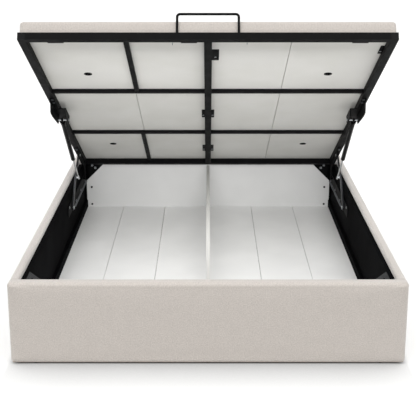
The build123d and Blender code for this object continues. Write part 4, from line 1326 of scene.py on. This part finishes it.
@dataclass
class Studio:
    """Pale floor, even light and the camera of the photograph.

    The floor's shadow reaches shadow_reach from the bed and ends at its half width, where it
    fades out over shadow_edge.
    """

    camera_height: float = 1.7736
    camera_y: float = -4.6235
    pitch: float = 0.2677
    lens: float = 83.34
    sensor: float = 36.0
    shift_y: float = -0.0793
    clip_end: float = 200.0
    floor_half: float = 30.0
    floor_colour: str = "#cbcbca"
    floor_glow: float = 0.42
    shadow_reach: float = 0.32
    shadow_half_width: float = 0.80
    shadow_edge: tuple[float, float] = (-0.05, 0.03)
    sky: float = 0.35
    suns: tuple[SoftSun, ...] = (
        SoftSun("soft_key", 2.0, turn=18.0, way=0.0, spread=60.0),
        SoftSun("left_light", 0.62, turn=54.0, way=-70.0, spread=40.0),
        SoftSun("right_light", 0.62, turn=54.0, way=70.0, spread=40.0),
        SoftSun("soft_fill", 0.36, turn=80.0, way=0.0, spread=24.0))
    panel_power: float = 4.1
    panel_size: tuple[float, float] = (1.3, 0.3)
    panel_place: tuple[float, float, float] = (0.0, -0.84, 1.10)
    panel_turn: float = 52.0
    panel_spread: float = 102.0

    def build_camera(self) -> None:
        """Places the camera as the photograph has it."""
        camera = bpy.data.cameras.new("camera")
        assign(camera, sensor_width=self.sensor, lens=self.lens, shift_y=self.shift_y,
               clip_end=self.clip_end)
        bpy.context.scene.camera = put_in_scene(
            "camera", camera, location=(0.0, self.camera_y, self.camera_height),
            rotation_euler=(QUARTER_TURN - self.pitch, 0.0, 0.0))

    def seen_share(self, tree: NodeTree) -> Node:
        """Gives 1 to rays from the camera, and to those by way of a gloss or a clear body.

        Args:
            tree: Node tree that takes the nodes.

        Returns:
            The node of the share.
        """
        path = add_node(tree, "ShaderNodeLightPath")
        gloss = add_node(tree, "ShaderNodeMath", {
            0: path.outputs["Is Glossy Ray"], 1: path.outputs["Is Transmission Ray"]},
            operation="MAXIMUM")
        return add_node(tree, "ShaderNodeMath", {0: path.outputs["Is Camera Ray"], 1: gloss},
                        operation="MAXIMUM")

    def build_world(self) -> None:
        """Lights evenly from all sides; the camera and gloss see plain white."""
        world = bpy.data.worlds.new("studio")
        bpy.context.scene.world = world
        tree = empty_tree(world)
        even, white = (add_node(tree, "ShaderNodeBackground", {
            "Color": WHITE, "Strength": strength}) for strength in (self.sky, 1.0))
        mixed = add_node(tree, "ShaderNodeMixShader", {
            0: self.seen_share(tree), 1: even, 2: white})
        add_node(tree, "ShaderNodeOutputWorld", {"Surface": mixed})

    def build_floor(self) -> None:
        """Lays the pale floor.

        The camera sees it as white paper that darkens under the bed and in front of it, and stays
        white beside it, as in the photograph.
        """
        material = bpy.data.materials.new("matt_paper_floor")
        tree = empty_tree(material)
        colour = linear(self.floor_colour)
        # Painted shadow: ambient occlusion near the bed darkens the paper's colour and glow for
        # camera rays.
        near = add_node(tree, "ShaderNodeAmbientOcclusion", {"Distance": self.shadow_reach},
                        samples=16)
        place = add_node(tree, "ShaderNodeTexCoord").outputs["Object"]
        parts = add_node(tree, "ShaderNodeSeparateXYZ", {"Vector": place})
        side = add_node(tree, "ShaderNodeMath", {0: parts.outputs["X"]}, operation="ABSOLUTE")
        beside = add_node(tree, "ShaderNodeMapRange", {
            "Value": side, "From Min": self.shadow_half_width + self.shadow_edge[0],
            "From Max": self.shadow_half_width + self.shadow_edge[1]},
            interpolation_type="SMOOTHSTEP")
        light = add_node(tree, "ShaderNodeMath", {0: beside, 1: near.outputs["AO"]},
                         operation="MAXIMUM")
        tone = add_node(tree, "ShaderNodeMix", {"Factor": 1.0, "A": colour, "B": light},
                        data_type="RGBA", blend_type="MULTIPLY")
        strength = add_node(tree, "ShaderNodeMath", {0: light, 1: self.floor_glow},
                            operation="MULTIPLY")
        paper, shaded = (add_node(tree, "ShaderNodeBsdfDiffuse", {"Color": hue})
                         for hue in (colour, tone))
        glow = add_node(tree, "ShaderNodeEmission", {"Strength": strength})
        seen = add_node(tree, "ShaderNodeAddShader", {0: shaded, 1: glow})
        mixed = add_node(tree, "ShaderNodeMixShader", {
            0: self.seen_share(tree), 1: paper, 2: seen})
        add_node(tree, "ShaderNodeOutputMaterial", {"Surface": mixed})
        corners = self.floor_half * np.array([[-1, -1, 0], [1, -1, 0], [1, 1, 0], [-1, 1, 0]])
        make_piece("studio_floor", corners, [[0, 1, 2, 3]], material)

    def hang_panel(self, shielded: Object) -> None:
        """Hangs a soft panel at the open mouth of the box, which faces down and to the rear.

        It lifts the tone of the boards deep in the box, as the photograph has them, and no camera
        ray sees it.

        Args:
            shielded: Piece that it doesn't light, because the closed lid lies right under it.
        """
        light = bpy.data.lights.new("soft_panel", "AREA")
        assign(light, shape="RECTANGLE", size=self.panel_size[0], size_y=self.panel_size[1],
               energy=self.panel_power, spread=math.radians(self.panel_spread))
        panel = put_in_scene("soft_panel", light, location=self.panel_place,
                             rotation_euler=(math.radians(self.panel_turn), 0.0, 0.0),
                             visible_camera=False, visible_glossy=False)
        unlit = bpy.data.collections.new("not_lit_by_soft_panel")
        unlit.objects.link(shielded)
        unlit.collection_objects[0].light_linking.link_state = "EXCLUDE"
        panel.light_linking.receiver_collection = unlit

    def build(self) -> None:
        """Sets up camera, world, floor and the large lights."""
        self.build_camera()
        self.build_world()
        self.build_floor()
        for sun in self.suns:
            sun.hang()
        bpy.context.scene.view_settings.view_transform = "Standard"


def dress_frame(nodes: dict[str, Object],
                finishes: dict[str, Material]) -> None:
    """Gives each CAD node the finish of its slot, and a few nodes their own.

    Args:
        nodes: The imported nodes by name.
        finishes: Materials by slot name.
    """
    # The base plates carry a painted highlight on their low inner flange.
    plate = PowderCoat("powder_coated_plate_painted_flange_highlight", "#0b0b0c", 0.6, worn="#111112",
                       highlight_below=0.2081, highlight_within=0.7359).build()
    own = {
        "left_base_plate": plate,
        "right_base_plate": plate,
        # The rear board's narrow faces get a painted highlight, and the divider's a painted shade.
        "rear_board": FacedBoard("rear_board_painted_edge_highlight", "#f4f4f3", 0.42,
                                 across=Across.LENGTHWAYS).build(),
        "centre_divider": FacedBoard("divider_painted_edge_shade", "#f4f4f3", 0.42, lipping_painted_light="#d8d7d4",
                                     across=Across.SIDEWAYS).build(),
        "lid_bolts": BareMetal("dull_zinc_plate", "#6e7276", 0.42, streak="#5c6064").build(),
        "front_corner_plates": BareMetal("oiled_grey_steel", "#2b2c2d", 0.5,
                                         streak="#353637").build(),
    }
    for name, node in nodes.items():
        for slot in node.material_slots:
            slot.material = finishes[slot.material.name.split(".")[0]]
        if name in own:
            node.material_slots[0].material = own[name]
        log.info("%s has %s", name, node.material_slots[0].material.name)


def main() -> None:
    """Loads the frame, then makes and dresses every piece."""
    logging.basicConfig(level=logging.INFO, format="%(name)s: %(message)s")
    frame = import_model()
    finishes = make_finishes()
    studio = Studio()
    studio.build()
    dress_frame(frame["nodes"], finishes)
    platform = Upholstery(finishes["rail_fabric"], finishes["foam"]).build()
    studio.hang_panel(platform)
    FrameWelds(finishes["black_steel"]).build()
    StrutRings(finishes["black_plastic"], finishes["zinc"]).build()


if __name__ == "__main__":
    main()
